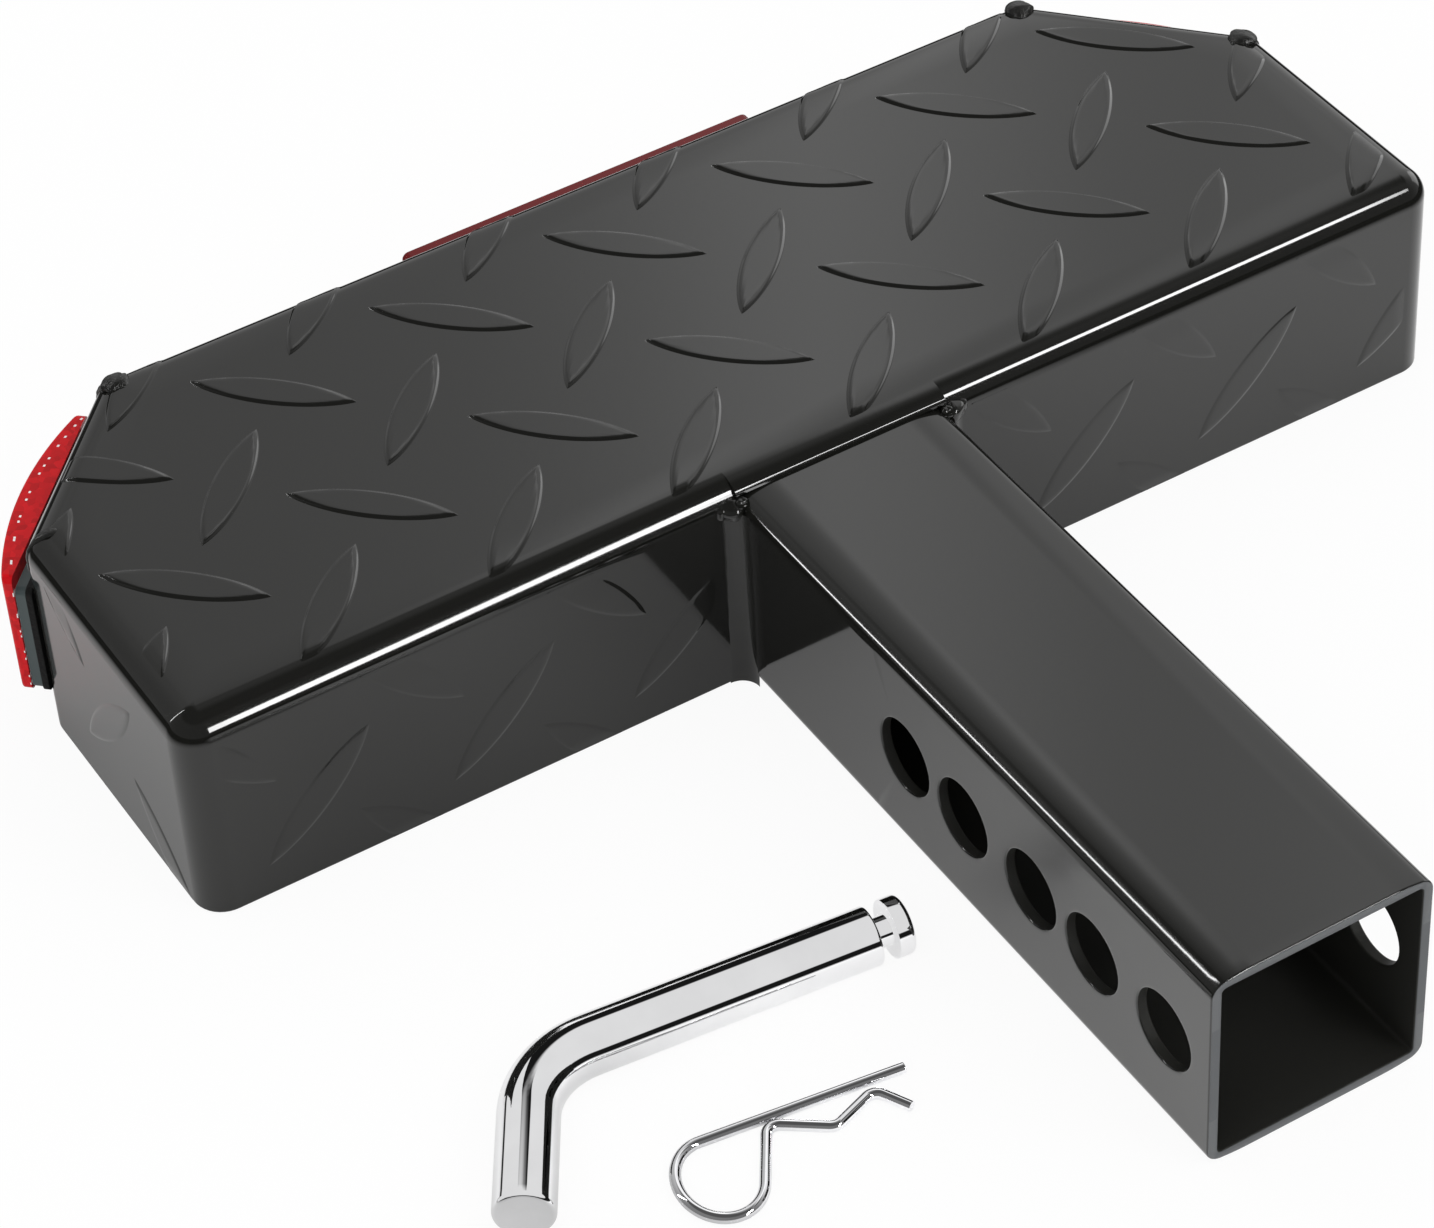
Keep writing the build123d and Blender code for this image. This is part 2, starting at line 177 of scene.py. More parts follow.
class HitchPinProps(bpy.types.PropertyGroup):
    """Sizes of the loose pin and its clip."""
    diameter: length("Pin diameter", "Rod of the pin", 12.7)
    shaft: length("Pin shaft", "Pin from its head to the corner of its bend", 82.2)
    leg: length("Pin leg", "Pin from the corner of its bend to its end", 38)
    bend: length("Pin bend radius", "Middle radius of the pin's bend", 20)
    turn: angle_prop("Pin turn", "How far the pin is bent", 64)
    head: length("Pin head", "Thickness of the pin's head", 3.8)
    groove: length("Pin groove", "Width of the groove for the clip", 3.6)
    neck: length("Pin neck", "Diameter inside the groove", 6.5)
    wire: length("Clip wire", "Diameter of the clip's wire", 2.4)
    ring: length("Clip ring along", "Half of the clip's oval ring, along its arm", 8.4)
    ring_across: length("Clip ring across", "Half of the clip's oval ring, across its arm", 10.25)
    arm: length("Clip arm", "Straight arm of the clip", 44.1)
    pin_x: length("Pin along", "Pin's head along the tray", -41.8)
    pin_y: length("Pin across", "Pin's head across the tray", -85.1)
    pin_heading: angle_prop("Pin heading", "Way of the shaft from the head", 174)
    clip_x: length("Clip along", "Middle of the clip's ring along the tray", -105.6)
    clip_y: length("Clip across", "Middle of the clip's ring across the tray", -117.75)
    clip_heading: angle_prop("Clip heading", "Way of the straight arm from the ring", -8)
    wave: length("Clip bend radius", "Middle radius of the bends in the wavy arm", 2.6)


class HitchFinishProps(bpy.types.PropertyGroup):
    """Colours of the finishes."""
    coat: colour("Powder coat", "Black powder coat", "#151513")
    sawn: colour("Sawn end", "Thin coat on the tube's sawn end", "#5A5C5E")
    chrome: colour("Chrome", "Bright plated steel", "#F2F2F3")
    wire: colour("Wire", "Plated spring wire", "#E8E8EA")
    lens: colour("Lens", "Clear red moulding", "#D4161E")
    deep_lens: colour("Deep lens", "Unlit edge of the red moulding", "#64080C")
    base: colour("Base", "Moulded base of a reflector", "#3E4A4B")
    foam: colour("Foam", "Foam tape behind a reflector", "#0C0C0C")
    paper: colour("Floor", "Pale studio paper", "#F4F4F4")


# Surfaces as grids of points

def grid_quads(rows, columns, around=False):
    """Corner numbers of the quads of a grid, row by row; around joins its last column to its first."""
    across = np.arange(columns if around else columns - 1)
    down = np.arange(rows - 1)[:, None] * columns
    after = (across + 1) % columns
    corners = (down + across, down + after, down + columns + after, down + columns + across)
    return np.stack(corners, axis=-1).reshape(-1, 4)


def sheet_of(points, around=False, flip=False):
    """A grid of points of shape (rows, columns, 3) as a list of points and a list of quads."""
    rows, columns = points.shape[:2]
    quads = grid_quads(rows, columns, around)
    if flip:
        quads = quads[:, ::-1]
    return points.reshape(-1, 3), quads.tolist()


def tube_of(points, flip=False):
    """A grid that closes round its columns, with its first and last row filled by one face each."""
    rows, columns = points.shape[:2]
    spots, faces = sheet_of(points, True, flip)
    first = list(range(columns))
    last = list(range((rows - 1) * columns, rows * columns))
    faces = faces + ([first, last[::-1]] if flip else [first[::-1], last])
    return spots, faces


def make_piece(name, surfaces, look, stands_for, sharp=40):
    """One object from several surfaces: joined, doubles merged, shaded smooth with flats kept flat, in one finish."""
    material, slot = finish(look)
    spots, faces, first = [], [], 0
    for points, polygons in surfaces:
        spots.append(points)
        faces += [[corner + first for corner in polygon] for polygon in polygons]
        first += len(points)
    mesh = bpy.data.meshes.new(name)
    mesh.from_pydata(np.concatenate(spots).tolist(), [], faces)
    work = bmesh.new()
    work.from_mesh(mesh)
    bmesh.ops.remove_doubles(work, verts=work.verts, dist=2e-6)
    bmesh.ops.dissolve_degenerate(work, edges=work.edges, dist=1e-6)
    work.to_mesh(mesh)
    work.free()
    mesh.shade_smooth()
    mesh.set_sharp_from_angle(angle=radians(sharp))
    mesh.materials.append(material)
    piece = bpy.data.objects.new(name, mesh)
    bpy.context.scene.collection.objects.link(piece)
    flats = piece.modifiers.new("flats stay flat", "WEIGHTED_NORMAL")
    flats.keep_sharp = True
    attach(piece, "root")
    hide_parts(*stands_for)
    return piece


def arc(start, end, count):
    """Angles from start to end in degrees, as radians."""
    return np.radians(np.linspace(start, end, count))


# Finishes

def feed(tree, node, inputs):
    """Gives each named input of a node its value, or a link from a socket."""
    for key, value in inputs.items():
        if isinstance(value, bpy.types.NodeSocket):
            tree.links.new(value, node.inputs[key])
        else:
            node.inputs[key].default_value = value


def add_node(tree, kind, inputs=None, **settings):
    """Adds one node: settings go to its attributes, and each input takes a value or a link from a socket."""
    made = tree.nodes.new(kind)
    for key, value in settings.items():
        setattr(made, key, value)
    feed(tree, made, inputs or {})
    return made


def math_of(tree, operation, *values):
    """Result of an operation on numbers."""
    return add_node(tree, "ShaderNodeMath", dict(enumerate(values)), operation=operation).outputs[0]


def sum_of(tree, first, second, factor=1.0):
    """first + factor * second."""
    return math_of(tree, "MULTIPLY_ADD", second, factor, first)


def vector_of(tree, operation, *values):
    """Result of an operation on vectors: a number for a dot product or a length, and else a vector."""
    made = add_node(tree, "ShaderNodeVectorMath", dict(enumerate(values)), operation=operation)
    return made.outputs["Value" if operation in ("DOT_PRODUCT", "LENGTH") else "Vector"]


def parts_of(tree, place):
    """X, Y and Z of a place."""
    return add_node(tree, "ShaderNodeSeparateXYZ", {0: place}).outputs


def range_of(tree, value, low, high, first=0.0, last=1.0, curve="LINEAR"):
    """A value carried from low..high to first..last."""
    return add_node(tree, "ShaderNodeMapRange", {"Value": value, "From Min": low, "From Max": high, "To Min": first,
                                                 "To Max": last}, interpolation_type=curve).outputs[0]


def mix_of(tree, factor, first, second):
    """The number between two numbers."""
    return add_node(tree, "ShaderNodeMix", {0: factor, 2: first, 3: second}).outputs[0]


def blend_of(tree, factor, first, second):
    """The colour between two colours."""
    first, second = (value if isinstance(value, bpy.types.NodeSocket) else (*value, 1) for value in (first, second))
    return add_node(tree, "ShaderNodeMix", {0: factor, 6: first, 7: second}, data_type="RGBA").outputs[2]


def noise_of(tree, place, grain, detail):
    """Soft noise with a grain of that size."""
    return add_node(tree, "ShaderNodeTexNoise", {"Vector": place, "Scale": 1 / grain, "Detail": detail}).outputs["Fac"]


def prisms_of(tree, place, grain):
    """Cells of that size, each with a brightness of its own."""
    cells = add_node(tree, "ShaderNodeTexVoronoi", {"Vector": place, "Scale": 1 / grain, "Randomness": 0.8})
    return add_node(tree, "ShaderNodeSeparateColor", {"Color": cells.outputs["Color"]}).outputs["Red"]


def bump_of(tree, height, strength, depth):
    """A normal tilted by a height."""
    return add_node(tree, "ShaderNodeBump", {"Height": height, "Strength": strength, "Distance": depth}).outputs[0]


def shaded(code, share):
    """A colour made darker or lighter by a share."""
    return [value * share for value in code]


def new_tree(owner):
    """The emptied node tree of a material or world."""
    owner.use_nodes = True
    owner.node_tree.nodes.clear()
    return owner.node_tree


def new_finish(name):
    """An empty material with its shader and output: returns material, tree, shader and the place on the object."""
    material = bpy.data.materials.new(name)
    tree = new_tree(material)
    shader = add_node(tree, "ShaderNodeBsdfPrincipled")
    add_node(tree, "ShaderNodeOutputMaterial", {"Surface": shader.outputs[0]})
    return material, tree, shader, add_node(tree, "ShaderNodeTexCoord").outputs["Object"]


def orange_peel(tree, place):
    """The long shallow ripple of baked powder, as a normal."""
    return bump_of(tree, noise_of(tree, place, 3.0 * MM, 2.0), 0.03, 0.1 * MM)


def coat_finish(props):
    """Black polyester powder coat, sprayed and baked on steel: a smooth half-gloss skin whose colour is nearly all
    reflection, with the long shallow ripple called orange peel and slightly uneven gloss."""
    material, tree, shader, place = new_finish("black powder coat")
    gloss = noise_of(tree, place, 35 * MM, 4.0)
    feed(tree, shader, {"Base Color": (*props.coat, 1), "IOR": COAT_IOR,
                        "Roughness": range_of(tree, gloss, 0.0, 1.0, 0.05, 0.075), "Normal": orange_peel(tree, place)})
    return material


def tube_finish(props):
    """The coat on the tube: the powder hardly reaches into the bore, so that is matt, and the bore and the walls of the
    cross holes take the coat's colour painted twice as light, as painted light in their shade; the coat is thin on the
    sawn end, which shows as a paler, duller rim."""
    material, tree, shader, place = new_finish("powder coat on sawn tube")
    tube = bpy.context.scene.hitch_tube
    away = parts_of(tree, vector_of(tree, "ABSOLUTE", vector_of(tree, "SUBTRACT", place, (0, 0, tube.size / 2))))
    bore, skin_at = tube.size / 2 - tube.wall, tube.size / 2 * tube.spread
    reach = math_of(tree, "MAXIMUM", away["X"], away["Z"])
    bored = range_of(tree, reach, bore + 0.7 * MM, bore + 1.4 * MM, 1.0, 0.0)
    drilled = range_of(tree, away["X"], skin_at - 0.35 * MM, skin_at - 0.2 * MM, 1.0, 0.0)
    hole = math_of(tree, "MULTIPLY", math_of(tree, "LESS_THAN", away["Z"], tube.size / 4), drilled)
    inside = math_of(tree, "MAXIMUM", bored, hole)
    rim = range_of(tree, parts_of(tree, place)["Y"], tube.front + 0.03 * MM, tube.front + 0.12 * MM, 1.0, 0.0)
    # Painted light: the bore and the hole walls take the coat's colour twice as light, for the light in their shade.
    skin = blend_of(tree, inside, props.coat, shaded(props.coat, 2.0))
    dull = math_of(tree, "MAXIMUM", inside, rim)
    feed(tree, shader, {"Base Color": blend_of(tree, rim, skin, props.sawn), "IOR": COAT_IOR,
                        "Roughness": range_of(tree, dull, 0.0, 1.0, 0.06, 0.6),
                        "Specular IOR Level": range_of(tree, inside, 0.0, 1.0, 0.5, 0.2),
                        "Normal": orange_peel(tree, place)})
    return material


def lumpy_coat(name, props, grain, detail, strength, depth, gloss):
    """The coat over lumps of one grain, which tilt its skin and vary its roughness between two values."""
    material, tree, shader, place = new_finish(name)
    lumps = noise_of(tree, place, grain, detail)
    feed(tree, shader, {"Base Color": (*props.coat, 1), "IOR": COAT_IOR,
                        "Roughness": range_of(tree, lumps, 0.0, 1.0, *gloss),
                        "Normal": bump_of(tree, lumps, strength, depth)})
    return material


def weld_finish(props):
    """The same coat over a weld: it runs thicker and glossier there, over small rounded lumps."""
    return lumpy_coat("powder coat over weld metal", props, 2.0 * MM, 2.0, 0.1, 0.2 * MM, (0.05, 0.14))


def dab_finish(props):
    """The coat over the rough dabs at the rear corners: dull and grainy, with pin-sized specks."""
    return lumpy_coat("powder coat over rough weld", props, 0.7 * MM, 3.0, 0.5, 0.3 * MM, (0.3, 0.5))


def mirror_metal(name, metal, patch, rough):
    """A polished metal whose colour varies a little in patches of that size."""
    material, tree, shader, place = new_finish(name)
    tone = blend_of(tree, noise_of(tree, place, patch, 4.0), shaded(metal, 0.86), metal)
    feed(tree, shader, {"Base Color": tone, "Metallic": 1.0, "Roughness": rough})
    return material


def chrome_finish(props):
    """Bright chrome plate on polished steel: a clean mirror whose metal is a shade uneven along the rod."""
    return mirror_metal("chrome plate", props.chrome, 9 * MM, 0.0)


def wire_finish(props):
    """Drawn spring wire with a thin bright plating: a slightly duller mirror than the pin, uneven along the wire."""
    return mirror_metal("plated spring wire", props.wire, 4 * MM, 0.05)


def lens_finish(props):
    """Acrylic moulded in clear red with small prisms behind its face: each prism shows as a cell of its own brightness,
    and white dots painted into the colour along a row just behind the bowed face are painted glints of the prisms."""
    material, tree, shader, place = new_finish("moulded red acrylic")
    tray, size = bpy.context.scene.hitch_tray, bpy.context.scene.hitch_reflector
    shade = range_of(tree, prisms_of(tree, place, 1.6 * MM), 0.0, 1.0, 0.5, 1.0)
    red = blend_of(tree, shade, shaded(props.lens, 0.4), props.lens)
    starts, along, outward, lengths = edge_frames(tray)
    part = parts_of(tree, place)
    right = math_of(tree, "GREATER_THAN", part["X"], 0.0)
    sides = []
    for edge in (LEFT_CUT, RIGHT_CUT):
        middle = starts[edge] + along[edge] * lengths[edge] / 2
        rel = vector_of(tree, "SUBTRACT", place, (*middle, 0))
        sides.append([vector_of(tree, "DOT_PRODUCT", rel, (*axis[edge], 0)) for axis in (outward, along)])
    out, run = (mix_of(tree, right, *pair) for pair in zip(*sides))
    share = math_of(tree, "DIVIDE", run, size.side_length / 2)
    bow = math_of(tree, "MULTIPLY", math_of(tree, "MULTIPLY", share, share), -size.side_rise)
    face = size.side_pad + size.side_base + size.side_edge + size.side_rise
    row_depth, row_half, bead_pitch, bead_half = 2.2 * MM, 0.25 * MM, 3.6 * MM, 0.09
    row = math_of(tree, "COMPARE", math_of(tree, "SUBTRACT", bow, out), row_depth - face, row_half)
    beads = add_node(tree, "ShaderNodeTexVoronoi", {"W": sum_of(tree, run, part["Z"], 1.2), "Scale": 1 / bead_pitch,
                                                    "Randomness": 1.0}, voronoi_dimensions="1D")
    # White dots painted into the red lens colour: painted glints of the prisms.
    painted_prism_glints = math_of(tree, "MULTIPLY", math_of(tree, "LESS_THAN", beads.outputs["Distance"], bead_half), row)
    feed(tree, shader, {"Base Color": blend_of(tree, painted_prism_glints, red, (0.95, 0.9, 0.9)), "Roughness": 0.08,
                        "Specular IOR Level": 0.15, "IOR": ACRYLIC_IOR})
    return material


def flat_lens_finish(props):
    """The flat lens at the rear, of the same red acrylic: its face is lit and a little uneven from prism to prism, and
    its edges, where no light gets in behind, look deep red."""
    material, tree, shader, place = new_finish("flat red acrylic")
    tray, size = bpy.context.scene.hitch_tray, bpy.context.scene.hitch_reflector
    lit = blend_of(tree, prisms_of(tree, place, 2.0 * MM), shaded(props.lens, 0.6), props.lens)
    face = tray.width + size.rear_pad + size.rear_base + size.rear_lens
    front = range_of(tree, parts_of(tree, place)["Y"], face - 0.25 * MM, face)
    feed(tree, shader, {"Base Color": blend_of(tree, front, props.deep_lens, lit), "Roughness": 0.2,
                        "Specular IOR Level": 0.2, "IOR": ACRYLIC_IOR})
    return material


def base_finish(props):
    """ABS moulded with a fine spark-eroded grain: dull, dark blue-grey."""
    material, tree, shader, place = new_finish("moulded ABS")
    feed(tree, shader, {"Base Color": (*props.base, 1), "Roughness": 0.45,
                        "Normal": bump_of(tree, noise_of(tree, place, 0.5 * MM, 3.0), 0.3, 0.05 * MM)})
    return material


def foam_finish(props):
    """Closed-cell foam tape: black and matt, with the open cells of its cut edge."""
    material, tree, shader, place = new_finish("closed-cell foam tape")
    cells = add_node(tree, "ShaderNodeTexVoronoi", {"Vector": place, "Scale": 1 / (0.6 * MM)})
    feed(tree, shader, {"Base Color": (*props.foam, 1), "Roughness": 0.85,
                        "Normal": bump_of(tree, cells.outputs["Distance"], 0.6, 0.2 * MM)})
    return material


# Each finish by the name of its material: what makes it, and the slot of the pieces that wear it
FINISHES = {
    "black powder coat": (coat_finish, "black_powder_coat"),
    "powder coat on sawn tube": (tube_finish, "black_powder_coat"),
    "powder coat over weld metal": (weld_finish, "black_powder_coat"),
    "powder coat over rough weld": (dab_finish, "black_powder_coat"),
    "chrome plate": (chrome_finish, "chrome_plate"),
    "plated spring wire": (wire_finish, "chrome_plate"),
    "moulded red acrylic": (lens_finish, "red_lens"),
    "flat red acrylic": (flat_lens_finish, "red_lens"),
    "moulded ABS": (base_finish, "dark_base"),
    "closed-cell foam tape": (foam_finish, "foam_pad"),
}


def finish(name):
    """The finish of that name, made on first use, and its slot."""
    maker, slot = FINISHES[name]
    return bpy.data.materials.get(name) or maker(bpy.context.scene.hitch_finish), slot


# Folded tray

LEAD_STEPS = 6


def tray_corners(tray):
    """Outline corners of the tray, counter-clockwise from the front left one."""
    end, rear = tray.length / 2, tray.width
    return np.array([(-end, 0), (end, 0), (end, rear - tray.cut_y), (end - tray.cut_x, rear),
                     (tray.left_cut_x - end, rear), (-end, rear - tray.left_cut_y)])


def edge_frames(tray):
    """For each outline edge: its start, its unit direction, its outward normal and its length."""
    corners = tray_corners(tray)
    runs = np.roll(corners, -1, axis=0) - corners
    lengths = np.linalg.norm(runs, axis=1)
    along = runs / lengths[:, None]
    return corners, along, np.stack([along[:, 1], -along[:, 0]], axis=1), lengths


def corner_frames(tray):
    """For each outline corner: centre of its rounding, radius, direction outwards through it, half its turn, and the
    outward normal of the edge before it."""
    corners, _, outward, _ = edge_frames(tray)
    radius = np.array([tray.front_corner] * 2 + [tray.rear_corner] * 4)
    before = np.roll(outward, 1, axis=0)
    middle = before + outward
    middle /= np.linalg.norm(middle, axis=1)[:, None]
    half_turn = np.arccos(np.clip((before * outward).sum(1), -1, 1)) / 2
    centre = corners - middle * (radius / np.cos(half_turn))[:, None]
    return centre, radius, middle, half_turn, before


def tray_columns(tray, steps=11):
    """Columns of the tray's skin: each one's centre, radius, direction outwards, and its way past the centre.

    Each corner gives the columns of one arc, and two columns on the front edge stand at the sides of the notch.
    A column's point at inset d is centre + (radius - d) * direction, and past the centre it goes on along the mitre.
    """
    centre, radius, middle, half_turn, before = corner_frames(tray)
    start = np.arctan2(before[:, 1], before[:, 0])
    angle = start[:, None] + np.linspace(0, 2, steps)[None] * half_turn[:, None]
    direction = np.stack([np.cos(angle), np.sin(angle)], axis=-1)
    centres = np.repeat(centre[:, None], steps, axis=1)
    radii = np.repeat(radius[:, None], steps, axis=1)
    mitres = np.repeat((-middle / np.cos(half_turn)[:, None])[:, None], steps, axis=1)
    sides = np.array([(-tray.notch, tray.front_corner), (tray.notch, tray.front_corner)])
    down = np.array([(0.0, -1.0)] * 2)
    return (
        np.concatenate([centres[0], sides, centres[1:].reshape(-1, 2)]),
        np.concatenate([radii[0], [tray.front_corner] * 2, radii[1:].ravel()]),
        np.concatenate([direction[0], down, direction[1:].reshape(-1, 2)]),
        np.concatenate([mitres[0], -down, mitres[1:].reshape(-1, 2)]),
        steps,
    )


def fold_shape(tray):
    """Radius of a fold, height at which its arc starts, and how far the plate has dropped by then."""
    drop = tray.lead / 2 * np.tan(tray.lead_tilt)
    radius = tray.bend / (1 - np.sin(tray.lead_tilt))
    return radius, tray.height - drop - radius * np.cos(tray.lead_tilt), drop


def fold_point(tray, s):
    """Inset, height and tilt of the plate's outside at distance s from the outline along the blank: the flat, then a
    parabola that starts the turn, then the fold's arc."""
    radius, spring, drop = fold_shape(tray)
    share = np.clip((s - tray.bend) / tray.lead, 0, 1)
    turned = tray.lead_tilt + (tray.bend - s) / radius
    on_arc = s < tray.bend
    tilt = np.where(on_arc, turned, np.arctan(np.tan(tray.lead_tilt) * (1 - share)))
    inset = np.where(on_arc, radius * (1 - np.sin(turned)), s)
    height = np.where(on_arc, spring + radius * np.cos(turned), tray.height - drop * (1 - share) ** 2)
    return inset, height, tilt


def tray_profile(tray, steps=19):
    """Section of the folded plate from the inside of its top, down the flange, round its rim and up the outside.

    Returns the inset and height of each point, and the row at which the outside is level with the plate's underside.
    """
    flat, inner = tray.height - tray.bend, tray.bend - tray.plate
    radius, spring, drop = fold_shape(tray)
    inside = arc(90, 0, 10)
    rim_in, rim_out = arc(0, -90, 5), arc(-90, -180, 5)
    lip = np.arccos((tray.height - tray.plate - spring) / radius)
    turn = np.sort(np.append(np.linspace(tray.lead_tilt, np.pi / 2, steps), lip))[::-1]
    share = np.linspace(0, 1, LEAD_STEPS + 1)[1:]
    inset = np.concatenate([
        tray.bend - inner * np.cos(inside), tray.plate - tray.rim + tray.rim * np.cos(rim_in),
        tray.rim + tray.rim * np.cos(rim_out), radius * (1 - np.sin(turn)), tray.bend + tray.lead * share])
    height = np.concatenate([
        flat + inner * np.sin(inside), tray.rim + tray.rim * np.sin(rim_in), tray.rim + tray.rim * np.sin(rim_out),
        spring + radius * np.cos(turn), tray.height - drop * (1 - share) ** 2])
    before = len(inside) + len(rim_in) + len(rim_out)
    return inset, height, before + int(np.argmin(np.abs(turn - lip)))


def lip_section(tray):
    """Section of the plate's edge over the notch, from where a fold would start: straight on and down ever more
    steeply, then a tight turn at its lower edge, and back along the underside. Returns its y and z."""
    gentle, round_steps, tight, short = 5, 9, 11, 0.3 * MM
    tilt = np.concatenate([np.linspace(tray.lead_tilt, radians(9), gentle + 1), arc(9, 34, round_steps + 1)[1:],
                           arc(34, 76, tight + 1)[1:]])
    bent = tray.lip * np.diff(tilt)
    bent[-tight:] = tray.lip_edge * np.diff(tilt)[-tight:]
    mean = (tilt[1:] + tilt[:-1]) / 2
    bent[:gentle] = (tray.bend - short - np.sum(bent[gentle:] * np.cos(mean[gentle:]))) / gentle
    y = tray.bend - np.cumsum(bent * np.cos(mean))
    z = tray.height - fold_shape(tray)[2] - np.cumsum(bent * np.sin(mean))
    under = tray.height - tray.plate
    y = np.concatenate([y, [y[-1] - (z[-1] - under) / np.tan(tilt[-1]), tray.bend]])
    return y, np.concatenate([z, [under, under]])


def tray_skin(tray):
    """Skin of the tray: the folded section carried round the outline, with the notch left out of the front flange.

    point(row, column) = centre + (radius - inset) * direction, at the row's height; top and underside are one flat
    face each. Over the notch the plate ends in a lip of its own, which turns down later and more tightly.
    """
    centre, radius, direction, mitre, left = tray_columns(tray)
    inset, height, lip = tray_profile(tray)
    reach = radius[None, :] - inset[:, None]
    flat = (centre[None] + np.maximum(reach, 0)[..., None] * direction[None]
            + np.maximum(-reach, 0)[..., None] * mitre[None])
    points = np.concatenate([flat, np.broadcast_to(height[:, None, None], (*reach.shape, 1))], axis=-1)
    rows, columns = reach.shape
    quads = grid_quads(rows, columns, True).reshape(rows - 1, columns, 4)
    start = rows - 1 - LEAD_STEPS
    keep = np.ones((rows - 1, columns), bool)
    keep[:start, left] = False
    number = np.arange(rows * columns).reshape(rows, columns)
    faces = quads[keep].tolist()
    faces.append(number[-1].tolist())
    faces.append(number[0, ::-1].tolist())
    faces.append(number[:lip + 1, left].tolist())
    faces.append(number[:lip + 1, left + 1][::-1].tolist())
    lip_y, lip_z = lip_section(tray)
    count = len(lip_y)
    first = rows * columns + np.arange(count)
    second = first + count
    ends = [np.stack([np.full(count, x), lip_y, lip_z], axis=1) for x in (-tray.notch, tray.notch)]
    one, two = np.append(number[start, left], first), np.append(number[start, left + 1], second)
    faces += np.stack([one[:-1], one[1:], two[1:], two[:-1]], axis=1).tolist()
    faces.append(first[:-1].tolist() + number[lip:start + 1, left].tolist())
    faces.append((second[:-1].tolist() + number[lip:start + 1, left + 1].tolist())[::-1])
    return np.concatenate([points.reshape(-1, 3)] + ends), faces


def bar_grid(tray, high, slope, steps=57):
    """One raised bar in its own plane, as arrays of x, y and height over a grid.

    x = half length * sin(pi/2 * u) and y = v * w(x), with w = half width * (1 - (x / half length)^2)^0.8, and the
    height rises from the edge by a smooth step over the slope's width.
    """
    half = tray.bar_length / 2
    u = np.sin(np.linspace(-np.pi / 2, np.pi / 2, steps))[:, None]
    v = np.array([1, .97, .94, .91, .88, .85, .82, .79, .75, .6, .3, 0])
    v = np.concatenate([v, -v[-2::-1]])[None, :]
    x = half * u + 0 * v
    width = tray.bar_width / 2 * np.maximum(1 - u ** 2, 0) ** 0.8
    y = v * width
    rise = np.clip(width * (1 - np.abs(v)) / slope, 0, 1)
    return x, y, high * rise ** 2 * (3 - 2 * rise)


def bar_spots(tray):
    """Middles and headings of the bars on the flat blank: two lattices half a pitch apart, at -45 and 45 degrees."""
    column, row = np.meshgrid(np.arange(-8, 9), np.arange(-5, 8), indexing="ij")
    first = np.stack([tray.first_x + column * tray.pitch_x, tray.first_y + row * tray.pitch_y], axis=-1).reshape(-1, 2)
    second = first + np.array([tray.pitch_x, tray.pitch_y]) / 2
    headings = np.repeat(np.radians([-45.0, 45.0]), len(first))
    return np.concatenate([first, second]), headings


def bar_sheet(x, y, height, clear, place, fade):
    """One bar set on a face of the plate.

    clear(a, b) gives how far each point is inside the face's window, and the point moved back into it; the height
    fades out over the last stretch before the window's end, and the rim lies just under the plate.
    """
    inside, a, b = clear(x, y)
    share = np.clip(inside / fade, 0, 1)
    lifted = height * share ** 2 * (3 - 2 * share) - 0.02 * MM
    spots, faces = sheet_of(place(a, b, lifted))
    number = np.arange(x.size).reshape(x.shape)
    rim = np.concatenate([number[:, 0], number[::-1, -1]])
    return spots, faces + [rim.tolist()], (inside > 0).mean()


def turned(middle, heading, x, y):
    """A shape's own x and y turned to its heading and moved to its middle."""
    return (middle[0] + x * np.cos(heading) - y * np.sin(heading),
            middle[1] + x * np.sin(heading) + y * np.cos(heading))


def inset_of(tray, spot):
    """Distance of points from the tray's rounded outline, and the direction outwards there."""
    starts, along, outward, _ = edge_frames(tray)
    centre, radius, _, _, _ = corner_frames(tray)
    depth = ((starts - spot[..., None, :]) * outward).sum(-1)
    rel = spot[..., None, :] - centre
    near_corner = ((rel * np.roll(along, 1, axis=0)).sum(-1) > 0) & ((rel * along).sum(-1) < 0)
    corner = near_corner.argmax(-1)
    from_centre = np.take_along_axis(rel, corner[..., None, None], axis=-2)[..., 0, :]
    far = np.maximum(np.linalg.norm(from_centre, axis=-1), 1e-9)
    rounded = near_corner.any(-1)
    inset = np.where(rounded, radius[corner] - far, depth.min(-1))
    return inset, np.where(rounded[..., None], from_centre / far[..., None], outward[depth.argmin(-1)])


def top_bars(tray, fade=2.0 * MM, least=0.12):
    """The raised bars on the plate's top. They run on round the rear folds, and stop short at the other ones."""
    x, y, height = bar_grid(tray, tray.bar_height, tray.bar_slope)

    def clear(a, b):
        inset, out = inset_of(tray, np.stack([a, b], -1))
        gap = inset - tray.bend + np.where(out[..., 1] < 0.2, tray.bar_wrap_front, tray.bar_wrap)
        back = np.clip(-gap, 0, None)
        return gap, a - back * out[..., 0], b - back * out[..., 1]

    def place(a, b, lifted):
        s, out = inset_of(tray, np.stack([a, b], -1))
        inset, level, tilt = fold_point(tray, s)
        step = s - inset + lifted * np.sin(tilt)
        return np.stack([a + out[..., 0] * step, b + out[..., 1] * step, level + lifted * np.cos(tilt)], axis=-1)

    sheets = [bar_sheet(*turned(middle, heading, x, y), height, clear, place, fade)
              for middle, heading in zip(*bar_spots(tray)) if middle[1] > tray.bend]
    return [(spots, faces) for spots, faces, share in sheets if share > least]


